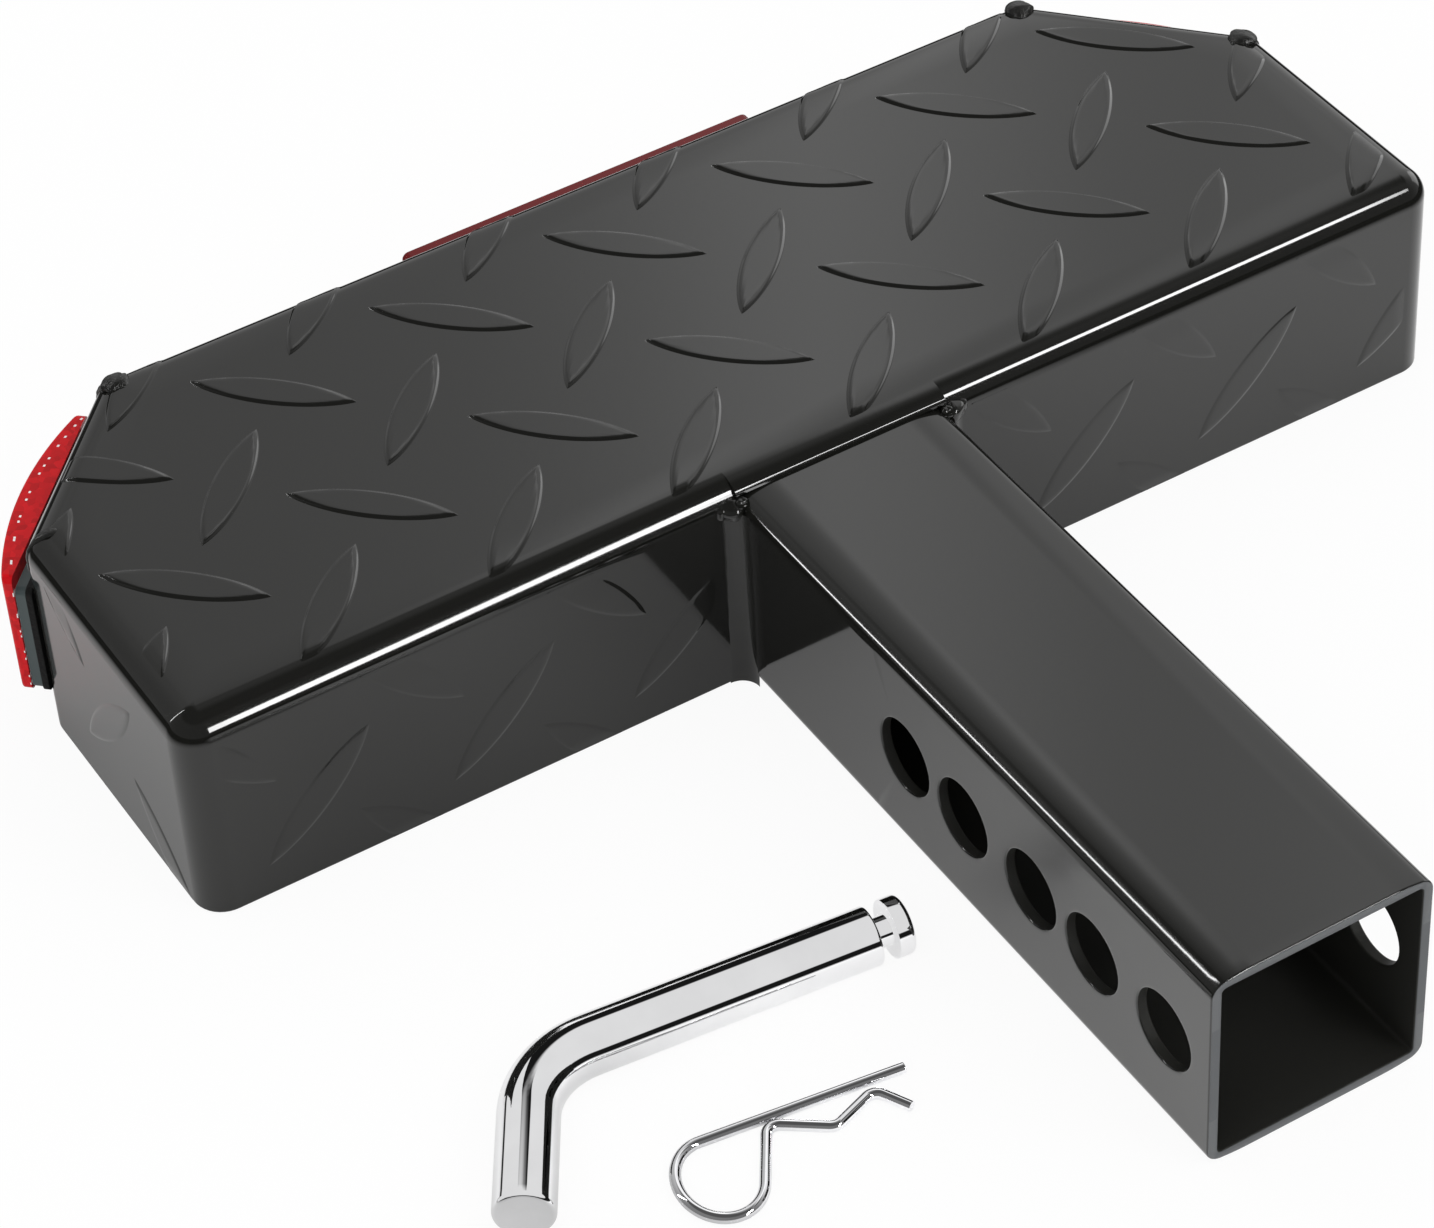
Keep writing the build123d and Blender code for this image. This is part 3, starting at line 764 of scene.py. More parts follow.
def flange_bars(tray, edge, windows, fade=2.5 * MM, least=0.25):
    """The raised bars that the folds carry down onto one flange, pressed flatter by the folding, and flattest towards
    the fold."""
    x, y, height = bar_grid(tray, tray.flange_bar_height, tray.flange_bar_slope)
    starts, along, outward, _ = edge_frames(tray)
    start, run, out = starts[edge], along[edge], outward[edge]
    flat = tray.height - tray.bend
    fold = flat + np.pi / 2 * (tray.bend - tray.plate / 2) - tray.bend
    middles, headings = bar_spots(tray)
    gaps = middles - start
    folded = np.stack([gaps @ run, fold - gaps @ out], axis=1)
    turn = np.arctan2(run[1], run[0])
    kept = []

    def place(a, b, lifted):
        level = start + a[..., None] * run + lifted[..., None] * out
        return np.concatenate([level, b[..., None]], axis=-1)

    for low_a, high_a, low_b, high_b, shift in windows:

        def clear(a, b, low_a=low_a, high_a=high_a, low_b=low_b, high_b=high_b):
            gap = np.minimum(np.minimum(a - low_a, high_a - a), np.minimum(b - low_b, 0.3 * (high_b - b)))
            return gap, np.clip(a, low_a, high_a), np.clip(b, low_b, high_b)

        moved = folded + np.array([shift, 0])
        sheets = [bar_sheet(*turned(middle, heading, x, y), height, clear, place, fade)
                  for middle, heading in zip(moved, headings - turn)]
        kept += [(spots, faces) for spots, faces, share in sheets if share > least]
    return kept


def flange_windows(tray, reflector):
    """Rectangles of each flange that keep their bars, clear of corners, bend, tube and reflectors: along the edge from
    and to, height from and to, and how far the bars are moved along the edge."""
    _, _, _, lengths = edge_frames(tray)
    gap, corner = 1.5 * MM, tray.front_corner + 0.5 * MM
    low, high = 0.4 * MM, tray.height - tray.bend
    front, right, right_cut, rear, left_cut, left = lengths
    tube = tray.notch + 6.2 * MM
    plate_half = reflector.rear_length / 2 + 3 * gap
    return [
        [(corner, front / 2 - tube, low, high, -tray.front_shift), (front / 2 + tube, front - corner, low, high, 0)],
        [(corner, right - corner, low, high, 0)],
        [(corner, right_cut - corner, low, reflector.right_bottom - gap, 0)],
        [(corner, rear / 2 - plate_half, low, high, 0), (rear / 2 + plate_half, rear - corner, low, high, 0),
         (rear / 2 - plate_half, rear / 2 + plate_half, low, reflector.rear_bottom - gap, 0)],
        [(corner, left_cut - corner, low, reflector.left_bottom - gap, 0)],
        [(corner, left - corner, low, high, 0)],
    ]


class HITCH_OT_tray(bpy.types.Operator):
    """Builds the folded tread-plate tray with the raised bars on its top and flanges"""
    bl_idname = "hitch.tray"
    bl_label = "Folded tray"

    def execute(self, context):
        tray = context.scene.hitch_tray
        make_piece("tread_plate_tray", [tray_skin(tray)] + top_bars(tray), "black powder coat", ["step_tray"])
        bars = []
        for edge, windows in enumerate(flange_windows(tray, context.scene.hitch_reflector)):
            bars += flange_bars(tray, edge, windows)
        make_piece("flange_bars", bars, "black powder coat", [])
        return {"FINISHED"}


# Receiver tube

# Open end to the first hole, then hole to hole; and the steps up a side and along a hole's cell
HOLE_PITCHES = np.array([15, 24, 21, 24, 21]) * MM
SIDE_STEPS, CELL_STEPS = 20, 10


def tube_core(tube):
    """Half height of the tube's flat sides: what the rounded corners and the start of their turn leave over."""
    drop = tube.lead / 2 * np.tan(tube.lead_tilt)
    return tube.size / 2 - drop - tube.corner * np.cos(tube.lead_tilt)


def tube_section(tube, inset):
    """Square section with rounded corners, set in by inset: one loop, counter-clockwise seen from the open end.

    Each side is straight, and on the outside the top and underside start to turn by a parabola before the corner.
    """
    half, core = tube.size / 2, tube_core(tube)
    outside = inset < tube.wall / 2
    radius, tilt = tube.corner - inset, tube.lead_tilt if outside else 0.0
    spring = core if outside else half - inset - radius
    turn = np.linspace(np.pi / 2, tilt, 9)[1:]
    share = np.linspace(0, 1, 6)[1:]
    x = half - inset - radius * (1 - np.sin(turn))
    z = spring + radius * np.cos(turn)
    x = np.concatenate([x, x[-1] - tube.lead * share])
    z = np.concatenate([z, z[-1] + tube.lead * np.tan(tilt) * (share - share ** 2 / 2)])
    top = np.concatenate([np.stack([x, z], axis=1), np.stack([-x, z], axis=1)[::-1]])
    side = np.linspace(-core, core, SIDE_STEPS + 1)
    right = np.stack([np.full_like(side, half - inset), side], axis=1)
    loop = np.concatenate([right, top, right[::-1] * np.array([-1, 1]), top[::-1] * np.array([1, -1])])
    return loop + np.array([0, half])


def tube_rim(tube, y, inwards):
    """Cut end of the tube: rounded outer edge, flat rim and rounded inner edge. inwards is the sign of Y into it."""
    edge = tube.edge
    first, last = arc(180, 90, 4), arc(90, 0, 4)
    inset = np.concatenate([edge + edge * np.cos(first), tube.wall - edge + edge * np.cos(last)])
    depth = np.concatenate([edge - edge * np.sin(first), edge - edge * np.sin(last)])
    rings = []
    for step_in, back in zip(inset, depth):
        loop = tube_section(tube, step_in)
        rings.append(np.stack([loop[:, 0], np.full(len(loop), y + inwards * back), loop[:, 1]], axis=1))
    return sheet_of(np.array(rings), True, inwards < 0)


def tube_stations(tube):
    """Y of every step along the tube: both rounded ends, and the steps of each hole's cell."""
    holes = tube.front + np.cumsum(HOLE_PITCHES)
    last = holes[-1] + HOLE_PITCHES[-1] / 2
    bounds = np.concatenate([[tube.front + tube.edge], (holes[1:] + holes[:-1]) / 2, [last]])
    cells = np.array([np.linspace(a, b, CELL_STEPS + 1) for a, b in zip(bounds[:-1], bounds[1:])])
    return holes, cells


def tube_strips(tube, inset, flip):
    """The tube's top and underside with their rounded corners at one inset, from end to end."""
    _, cells = tube_stations(tube)
    y = np.unique(np.concatenate([cells.ravel(), [tube.rear - tube.edge]]).round(9))
    loop = tube_section(tube, inset)
    count = len(loop)
    shape = (len(y), count)
    points = np.stack([np.broadcast_to(loop[:, 0], shape), np.broadcast_to(y[:, None], shape),
                       np.broadcast_to(loop[:, 1], shape)], axis=-1)
    half = count // 2
    top = np.arange(SIDE_STEPS, half + 1)
    under = np.arange(half + SIDE_STEPS, count + 1) % count
    return [sheet_of(points[:, top], False, flip), sheet_of(points[:, under], False, flip)]


def hole_cell(tube, hole, cell, side):
    """One cross hole with the wall around it: rows run from the cell's edge on the outside to the hole, through the
    wall, and back to the cell's edge on the inside; columns run round the hole."""
    half, core = tube.size / 2, tube_core(tube)
    z = np.linspace(-core, core, SIDE_STEPS + 1)
    ring = np.concatenate([
        np.stack([np.full(SIDE_STEPS, cell[0]), z[:-1]], 1), np.stack([cell[:-1], np.full(CELL_STEPS, core)], 1),
        np.stack([np.full(SIDE_STEPS, cell[-1]), z[:0:-1]], 1), np.stack([cell[:0:-1], np.full(CELL_STEPS, -core)], 1)])
    rel = ring - np.array([hole, 0])
    unit = rel / np.linalg.norm(rel, axis=1)[:, None]
    radius, edge = tube.hole / 2, tube.edge
    turn = arc(90, 180, 4)
    round_in = edge + edge * np.cos(turn)
    grow = np.concatenate([[edge * 2.5], round_in, round_in[::-1], [edge * 2.5]])
    dip = edge - edge * np.sin(turn)
    depth = np.concatenate([[0, 0], dip, tube.wall - dip[::-1], [tube.wall, tube.wall]])
    rings = np.array([hole, 0]) + unit * (radius + grow[:, None, None])
    rings = np.concatenate([ring[None], rings, ring[None]])
    x = side * (half - np.broadcast_to(depth[:, None], rings.shape[:2]))
    points = np.stack([x, rings[..., 0], rings[..., 1] + half], axis=-1)
    return sheet_of(points, True, side > 0)


def tube_plain_side(tube, side, inset):
    """The side of the tube behind the last hole."""
    _, cells = tube_stations(tube)
    half, core = tube.size / 2, tube_core(tube)
    y = np.array([cells[-1, -1], tube.rear - tube.edge])
    z = np.linspace(-core, core, SIDE_STEPS + 1) + half
    yy, zz = np.meshgrid(y, z, indexing="ij")
    points = np.stack([np.full_like(yy, side * (half - inset)), yy, zz], axis=-1)
    return sheet_of(points, False, (side > 0) == (inset > 0))


class HITCH_OT_tube(bpy.types.Operator):
    """Builds the square receiver tube with its row of cross holes"""
    bl_idname = "hitch.tube"
    bl_label = "Receiver tube"

    def execute(self, context):
        tube = context.scene.hitch_tube
        holes, cells = tube_stations(tube)
        surfaces = [tube_rim(tube, tube.front, 1), tube_rim(tube, tube.rear, -1)]
        surfaces += tube_strips(tube, 0, True) + tube_strips(tube, tube.wall, False)
        for side in (-1, 1):
            surfaces += [hole_cell(tube, hole, cell, side) for hole, cell in zip(holes, cells)]
            surfaces += [tube_plain_side(tube, side, 0), tube_plain_side(tube, side, tube.wall)]
        wider = np.array([tube.spread, 1, 1])
        surfaces = [(spots * wider, faces) for spots, faces in surfaces]
        make_piece("square_tube", surfaces, "powder coat on sawn tube", ["receiver_tube"])
        return {"FINISHED"}


# Welds

# Starts of the stitch beads by the tray's width
STITCH_SHARES = (0.2, 0.62)


def fillet_bead(weld, corner, out_a, out_b, run, leg_a, leg_b, flare=0.0, seed=0.0, steps=60):
    """Hollow fillet bead in a corner: its section carried along a straight run.

    face(t) = corner + leg_a * (1 - sin t) * out_a + leg_b * (1 - cos t) * out_b for t from 0 to 90 degrees, so the face
    runs out level with both plates; the legs swell and shrink by slow ripples, and flare out at the run's start.
    """
    corner, out_a, out_b, run = (np.array(value, float) for value in (corner, out_a, out_b, run))
    long = np.linalg.norm(run)
    s = np.linspace(0, 1, steps)[:, None, None]
    wave = np.sin(2 * np.pi * s * long / weld.ripple_pitch + seed) + 0.8 * np.sin(7.3 * s + 2.1 * seed)
    swell = weld.ripple * wave + flare * np.exp(-(s * long / (3 * MM)) ** 2)
    t = arc(0, 90, 15)[None, :, None]
    level = -0.03 * MM
    face = (corner + run * s + out_a * ((leg_a + swell) * (1 - np.sin(t)) + level)
            + out_b * ((leg_b + swell) * (1 - np.cos(t)) + level))
    root = corner + run * s - 0.1 * MM * (out_a + out_b)
    points = np.concatenate([face, root], axis=1)
    return tube_of(points, bool(np.dot(np.cross(out_a, out_b), run) < 0))


def lumpy_ball(centre, radius, squash, seed, steps=28):
    """Lump of weld metal: a ball whose radius swings by a few slow waves over its two angles."""
    v = np.linspace(0, np.pi, steps)[:, None]
    u = np.linspace(0, 2 * np.pi, 2 * steps, endpoint=False)[None, :]
    wave = (0.08 * np.sin(3 * u + seed) * np.sin(v) + 0.06 * np.sin(2 * u - 1.7 * seed) * np.sin(2 * v)
            + 0.05 * np.cos(5 * v + seed))
    r = radius * (1 + wave)
    points = np.stack([r * np.sin(v) * np.cos(u), r * np.sin(v) * np.sin(u), r * np.cos(v) + 0 * u], axis=-1)
    return sheet_of(np.array(centre) + points * np.array(squash), True, True)


class HITCH_OT_front_welds(bpy.types.Operator):
    """Builds the beads between the front flange and the tube, with a lump at the top of each"""
    bl_idname = "hitch.front_welds"
    bl_label = "Front welds"

    def execute(self, context):
        weld, tray, tube = context.scene.hitch_weld, context.scene.hitch_tray, context.scene.hitch_tube
        side, flat = tube.size / 2 * tube.spread, tray.height - tray.bend
        for name, sign in (("left", -1), ("right", 1)):
            bead = fillet_bead(weld, (sign * side, 0, 0), (sign, 0, 0), (0, -1, 0), (0, 0, flat), weld.leg, weld.leg,
                               seed=sign)
            lumps = [
                lumpy_ball((sign * (side + 1.6 * MM), 0.6 * MM, flat + 0.2 * MM), weld.lump, (1, 0.9, 0.8), 0.4 + sign),
                lumpy_ball((sign * (side + 3.6 * MM), 0.9 * MM, flat + 0.4 * MM), weld.lump * 0.62, (1, 1, 0.9), 2.0),
                lumpy_ball((sign * (side - 0.4 * MM), -0.6 * MM, flat + 1.5 * MM), weld.lump * 0.5, (1, 1, 0.9), 3.1),
            ]
            make_piece(f"front_bead_{name}", [bead] + lumps, "powder coat over weld metal", [f"front_weld_{name}"])
        return {"FINISHED"}


class HITCH_OT_hidden_welds(bpy.types.Operator):
    """Builds the beads under the plate: along the tube's upper edges and at its inner end"""
    bl_idname = "hitch.hidden_welds"
    bl_label = "Welds under the plate"

    def execute(self, context):
        weld, tray, tube = context.scene.hitch_weld, context.scene.hitch_tray, context.scene.hitch_tube
        side, flat, inner = tube.size / 2, tray.height - tray.bend, tray.bend - tray.plate
        for name, sign in (("left", -1), ("right", 1)):
            rear = fillet_bead(weld, (sign * side, tray.width - tray.plate, 0), (sign, 0, 0), (0, -1, 0),
                               (0, 0, flat - inner), weld.leg, weld.leg + inner, seed=sign + 1)
            make_piece(f"rear_bead_{name}", [rear], "powder coat over weld metal", [f"rear_weld_{name}"])
            beads = [fillet_bead(weld, (sign * side, share * tray.width, tube.size), (sign, 0, 0), (0, 0, -1),
                                 (0, weld.stitch, 0), weld.leg, weld.leg, seed=share * 9 + sign)
                     for share in STITCH_SHARES]
            make_piece(f"stitch_beads_{name}", beads, "powder coat over weld metal", [f"stitch_welds_{name}"])
        return {"FINISHED"}


def seam_bead(weld, tray, corner, share, seed):
    """Dab of weld over one rear corner: a flattened, lumpy rod whose middle line follows the fold at the corner, from
    the plate's top round the bend and down the seam. It swells to a dome at the top and closes at both ends."""
    centre, radius_out, middles, _, _ = corner_frames(tray)
    core, middle, corner_radius = centre[corner], middles[corner], radius_out[corner]
    radius, spring, _ = fold_shape(tray)
    turn = arc(-22, 90, 30)
    out = np.concatenate([corner_radius - radius + radius * np.sin(turn), np.full(5, corner_radius)])
    up = np.concatenate([spring + radius * np.cos(turn), np.linspace(spring, weld.seam_bottom, 6)[1:]])
    run = np.concatenate([[0], np.cumsum(np.hypot(np.diff(out), np.diff(up)))])
    along_out, along_up = np.gradient(out, run), np.gradient(up, run)
    scale = np.hypot(along_out, along_up)
    along_out, along_up = along_out / scale, along_up / scale
    top = run[np.argmin(np.abs(np.degrees(turn) - 18))]
    dome = np.exp(-((run - top) / (2.6 * MM)) ** 4)
    thick = (weld.seam + (weld.seam_lump - weld.seam) * dome) * share
    cap = np.clip(np.minimum(run, run[-1] - run) / (2.0 * MM), 0, 1)
    thick = np.maximum(thick * np.sqrt(1 - (1 - cap) ** 2), 0.02 * MM)
    u = np.linspace(0, 2 * np.pi, 28, endpoint=False)[None, :]
    s = run[:, None] / MM
    wave = (1 + 0.05 * np.sin(2.3 * s + seed + np.cos(u)) + 0.05 * np.sin(3 * u + 1.3 * s)
            + 0.04 * np.cos(4.1 * s + 2 * u))
    r = thick[:, None] * wave
    across = np.array([-middle[1], middle[0]])
    lift = weld.seam_flat * r * np.cos(u)
    lift_out = out[:, None] - lift * along_up[:, None]
    lift_up = up[:, None] + lift * along_out[:, None]
    flat_place = core + lift_out[..., None] * middle + (r * np.sin(u))[..., None] * across
    return tube_of(np.concatenate([flat_place, lift_up[..., None]], axis=-1), True)


class HITCH_OT_corner_welds(bpy.types.Operator):
    """Builds the dabs of weld that close the four rear corners"""
    bl_idname = "hitch.corner_welds"
    bl_label = "Corner welds"

    def execute(self, context):
        weld, tray = context.scene.hitch_weld, context.scene.hitch_tray
        corners = (("right", RIGHT_CUT, 1.0), ("rear_right", REAR, 1.0), ("rear_left", LEFT_CUT, 1.0),
                   ("left", LEFT, 0.4))
        for name, corner, share in corners:
            make_piece(f"corner_bead_{name}", [seam_bead(weld, tray, corner, share, corner * 1.9)],
                       "powder coat over rough weld", [f"corner_weld_{name}"])
        return {"FINISHED"}


# Reflectors

def round_rectangle(long, high, radius, steps=8, side=24):
    """Loop of a rectangle with rounded corners round the origin, counter-clockwise, with even steps on its sides."""
    x, y = long / 2 - radius, high / 2 - radius
    parts = []
    centres = ((x, -y), (x, y), (-x, y), (-x, -y))
    for index, (cx, cy) in enumerate(centres):
        angle = np.radians(np.linspace(-90, 0, steps) + 90 * index)
        parts.append(np.stack([cx + radius * np.cos(angle), cy + radius * np.sin(angle)], axis=1))
        after = np.array(centres[(index + 1) % 4]) + radius * np.array([np.cos(angle[-1]), np.sin(angle[-1])])
        step = np.linspace(0, 1, side + 1)[1:-1, None]
        parts.append(parts[-1][-1] * (1 - step) + after * step)
    return np.concatenate(parts)


def layer_grid(long, high, radius, low, high_level, edge, bow=0.0):
    """One layer of a reflector as rings from the middle of its back, round its rim, to the middle of its face.

    A ring is the outline drawn in towards the middle line; the face bows out by bow * (1 - (2x / long)^2).
    """
    outline = round_rectangle(long, high, radius)
    spine = np.stack([outline[:, 0] * 0.96, outline[:, 1] * 0.0], axis=1)
    turn = arc(0, 90, 6)
    share = np.concatenate([[1.0, 0.5, 0.12], np.zeros(2), np.zeros(6), [0.12, 0.3, 0.5, 0.75, 1.0]])
    inset = np.concatenate([np.zeros(3), [0.0, 0.0], edge - edge * np.cos(turn), np.full(5, edge)])
    level = np.concatenate([np.full(3, low), [low, high_level - edge], high_level - edge + edge * np.sin(turn),
                            np.full(5, high_level)])
    face = np.concatenate([np.zeros(4), np.ones(12)])
    factor = 1 - inset[:, None, None] / (np.array([long, high]) / 2)
    ring = outline * factor
    ring = ring * (1 - share[:, None, None]) + spine * factor * share[:, None, None]
    bowed = level[:, None] + face[:, None] * bow * (1 - (2 * ring[..., 0] / long) ** 2)
    return np.concatenate([ring, bowed[..., None]], axis=-1)


def set_on_flange(tray, edge, middle_at, bottom, high, grid):
    """A layer placed on a flange: x along the flange from a place by its middle, y up, and its level outwards."""
    starts, along, outward, lengths = edge_frames(tray)
    middle = starts[edge] + along[edge] * (lengths[edge] / 2 + middle_at)
    flat = middle + grid[..., :1] * along[edge] + grid[..., 2:] * outward[edge]
    return np.concatenate([flat, grid[..., 1:2] + bottom + high / 2], axis=-1)


def build_reflector(name, place, long, high, layers, lens):
    """Foam pad, base and lens of one reflector, each from its own drop below the top, levels, edge rounding and bow.
    The coat doesn't mirror the lens."""
    looks = {"pad": "closed-cell foam tape", "base": "moulded ABS", "lens": lens}
    tray, edge, middle_at, bottom = place
    corner = bpy.context.scene.hitch_reflector.corner
    for layer, inset, drop, low, top, rounding, bow in layers:
        grid = layer_grid(long - 2 * inset, high - drop - 2 * inset, corner, low, top, rounding, bow)
        skin = sheet_of(set_on_flange(tray, edge, middle_at, bottom, high - drop, grid), True)
        piece = make_piece(f"{name}_{layer}_skin", [skin], looks[layer], [f"{name}_{layer}"], 60)
        piece.visible_glossy = layer != "lens"


class HITCH_OT_reflectors(bpy.types.Operator):
    """Builds the two side reflectors and the rear one, each of foam pad, base and red lens"""
    bl_idname = "hitch.reflectors"
    bl_label = "Reflectors"

    def execute(self, context):
        tray, size = context.scene.hitch_tray, context.scene.hitch_reflector
        back, face = size.side_pad, size.side_pad + size.side_base
        side_layers = [
            ("pad", 0, size.side_drop, 0, back, 0.25 * MM, 0),
            ("base", 0.4 * MM, size.side_drop, back, face, 0.3 * MM, 0),
            ("lens", 0, 0, face, face + size.side_edge, 0.6 * MM, size.side_rise),
        ]
        for name, edge, bottom in (("right_reflector", RIGHT_CUT, size.right_bottom),
                                   ("left_reflector", LEFT_CUT, size.left_bottom)):
            build_reflector(name, (tray, edge, 0, bottom), size.side_length, size.side_height, side_layers,
                            "moulded red acrylic")
        back, face = size.rear_pad, size.rear_pad + size.rear_base
        rear_layers = [
            ("pad", 0, 0, 0, back, 0.2 * MM, 0),
            ("base", 0.4 * MM, 0, back, face, 0.3 * MM, 0),
            ("lens", 0, 0, face, face + size.rear_lens, 0.6 * MM, 0),
        ]
        middle_at = (tray.left_cut_x - tray.cut_x) / 2 - size.rear_at
        build_reflector("rear_reflector", (tray, REAR, middle_at, size.rear_bottom), size.rear_length, size.rear_height,
                        rear_layers, "flat red acrylic")
        return {"FINISHED"}


# Pin and clip

def swept_rod(path, tangent, radius, steps):
    """Round rod along a level path: point = path + radius * (cos a * side + sin a * up)."""
    side = np.stack([-tangent[:, 1], tangent[:, 0], np.zeros(len(tangent))], axis=1)
    angle = np.linspace(0, 2 * np.pi, steps, endpoint=False)
    ring = side[:, None] * np.cos(angle)[None, :, None] + np.array([0, 0, 1.0]) * np.sin(angle)[None, :, None]
    return path[:, None] + ring * radius[:, None, None]


def pin_path(pin, s):
    """Place and direction at distance s along the pin's middle line: shaft, bend to the left, leg."""
    reach = pin.bend * np.tan(pin.turn / 2)
    straight = pin.shaft - reach
    arc_length = pin.bend * pin.turn
    angle = np.clip((s - straight) / pin.bend, 0, pin.turn)
    before = np.minimum(s, straight)
    after = np.maximum(s - straight - arc_length, 0)
    x = before + pin.bend * np.sin(angle) + after * np.cos(angle)
    y = pin.bend * (1 - np.cos(angle)) + after * np.sin(angle)
    return x, y, angle, straight + arc_length + pin.leg - reach


class HITCH_OT_pin(bpy.types.Operator):
    """Builds the bent hitch pin with its grooved end"""
    bl_idname = "hitch.pin"
    bl_label = "Hitch pin"

    def execute(self, context):
        pin = context.scene.hitch_pin
        _, _, _, total = pin_path(pin, np.zeros(1))
        rod, neck, rounding = pin.diameter / 2, pin.neck / 2, 1.0 * MM
        groove, back = pin.head, pin.head + pin.groove
        turn = arc(0, 90, 7)
        soft = 0.3 * MM
        s = np.concatenate([
            [0.0], rounding - rounding * np.cos(turn), [groove - soft, groove - soft * 0.3, groove, groove],
            [back, back, back + soft * 0.3, back + soft], np.linspace(back + 2 * soft, total - rounding, 70),
            total - rounding + rounding * np.sin(turn)[1:], [total]])
        radius = np.concatenate([
            [0.2 * MM], rod - rounding + rounding * np.sin(turn), [rod, rod - soft * 0.3, rod - soft, neck],
            [neck, rod - soft, rod - soft * 0.3, rod], np.full(70, rod),
            rod - rounding + rounding * np.cos(turn)[1:], [0.2 * MM]])
        x, y, way, _ = pin_path(pin, s)
        flat = turned((pin.pin_x, pin.pin_y), pin.pin_heading, x, y)
        path = np.stack([*flat, np.full_like(x, rod)], axis=1)
        tangent = np.stack([np.cos(way + pin.pin_heading), np.sin(way + pin.pin_heading)], axis=1)
        piece = make_piece("bent_pin", [tube_of(swept_rod(path, tangent, radius, 56))], "chrome plate", ["hitch_pin"])
        piece.visible_glossy = False
        return {"FINISHED"}


def rounded_run(corners, radius, steps=10):
    """Points and headings along a line through the corners, each inner corner rounded by an arc of that radius."""
    corners = np.array(corners)
    runs = np.diff(corners, axis=0)
    heading = np.arctan2(runs[:, 1], runs[:, 0])
    turn = (np.diff(heading) + np.pi) % (2 * np.pi) - np.pi
    cut = radius * np.tan(np.abs(turn) / 2)
    unit = np.stack([np.cos(heading), np.sin(heading)], axis=1)
    begin = corners[1:-1] - unit[:-1] * cut[:, None]
    share = np.linspace(0, 1, steps)
    angle = heading[:-1, None] + turn[:, None] * share
    sign = np.sign(turn)[:, None]
    x = begin[:, :1] + sign * radius * (np.sin(angle) - np.sin(heading[:-1, None]))
    y = begin[:, 1:] - sign * radius * (np.cos(angle) - np.cos(heading[:-1, None]))
    points = np.concatenate([corners[:1], np.stack([x, y], -1).reshape(-1, 2), corners[-1:]])
    return points, np.concatenate([heading[:1], angle.ravel(), heading[-1:]])


class HITCH_OT_clip(bpy.types.Operator):
    """Builds the spring clip: straight arm, oval ring and wavy arm of one wire"""
    bl_idname = "hitch.clip"
    bl_label = "Spring clip"

    def execute(self, context):
        pin = context.scene.hitch_pin
        oval, wire = np.array([pin.ring, pin.ring_across]), pin.wire / 2
        crests = np.array([(13.7, 8.7), (25.6, 2.1), (36.1, 7.4), (41.1, 0.3)]) * MM
        aim = crests[0] / oval
        leave = np.arctan2(aim[1], aim[0]) - np.arccos(1 / np.linalg.norm(aim))
        bearing = np.linspace(np.pi / 2, 2 * np.pi + leave, 72)
        circle = oval * np.stack([np.cos(bearing), np.sin(bearing)], axis=1)
        waves, wave_heading = rounded_run(np.concatenate([circle[-1:], crests]), pin.wave)
        line = np.concatenate([[(pin.arm, pin.ring_across)], circle, waves[1:]])
        round_heading = np.arctan2(pin.ring_across * np.cos(bearing), -pin.ring * np.sin(bearing))
        turn = np.concatenate([[np.pi], round_heading, wave_heading[1:]])
        turn += pin.clip_heading
        flat = turned((pin.clip_x, pin.clip_y), pin.clip_heading, line[:, 0], line[:, 1])
        path = np.stack([*flat, np.full(len(line), wire)], axis=1)
        tangent = np.stack([np.cos(turn), np.sin(turn)], axis=1)
        edge = 0.25 * MM
        ends = np.array([0.0, edge * 0.3, edge])
        first = path[:1] + ends[:, None] * np.append(tangent[0], 0)
        last = path[-1:] - ends[::-1, None] * np.append(tangent[-1], 0)
        path = np.concatenate([first, path[1:-1], last])
        tangent = np.concatenate([tangent[[0, 0, 0]], tangent[1:-1], tangent[[-1, -1, -1]]])
        close = wire - np.array([edge, edge * 0.3, 0])
        radius = np.concatenate([close, np.full(len(path) - 6, wire), close[::-1]])
        make_piece("spring_clip", [tube_of(swept_rod(path, tangent, radius, 28))], "plated spring wire", ["hitch_clip"])
        return {"FINISHED"}


# Stage

CAMERA_AT = (-400.33 * MM, -663.40 * MM, 720.68 * MM)
CAMERA_TURN = (47.2593, 2.8310, -31.6086)
CAMERA_LENS = 122.85


class HITCH_OT_stage(bpy.types.Operator):
    """Sets the camera, the pale floor, the white surroundings and the studio lights"""
    bl_idname = "hitch.stage"
    bl_label = "Stage"

    def execute(self, context):
        scene = context.scene
        scene.view_settings.view_transform = "Standard"
        lens = bpy.data.cameras.new("camera")
        lens.lens, lens.sensor_width, lens.sensor_fit = CAMERA_LENS, 36, "HORIZONTAL"
        camera = bpy.data.objects.new("camera", lens)
        camera.location = CAMERA_AT
        camera.rotation_euler = [radians(value) for value in CAMERA_TURN]
        scene.collection.objects.link(camera)
        scene.camera = camera
        build_floor(scene)
        build_world(scene)
        build_lamps(scene)
        return {"FINISHED"}


def footprint_gap(tree, place, low, high):
    """Distance of a place on the floor from a rectangle."""
    low, high = np.array(low), np.array(high)
    middle, half = (*((low + high) / 2), 0), (*((high - low) / 2), 1)
    away = vector_of(tree, "ABSOLUTE", vector_of(tree, "SUBTRACT", place, middle))
    past = vector_of(tree, "MAXIMUM", vector_of(tree, "SUBTRACT", away, half), (0, 0, 0))
    return vector_of(tree, "LENGTH", past)


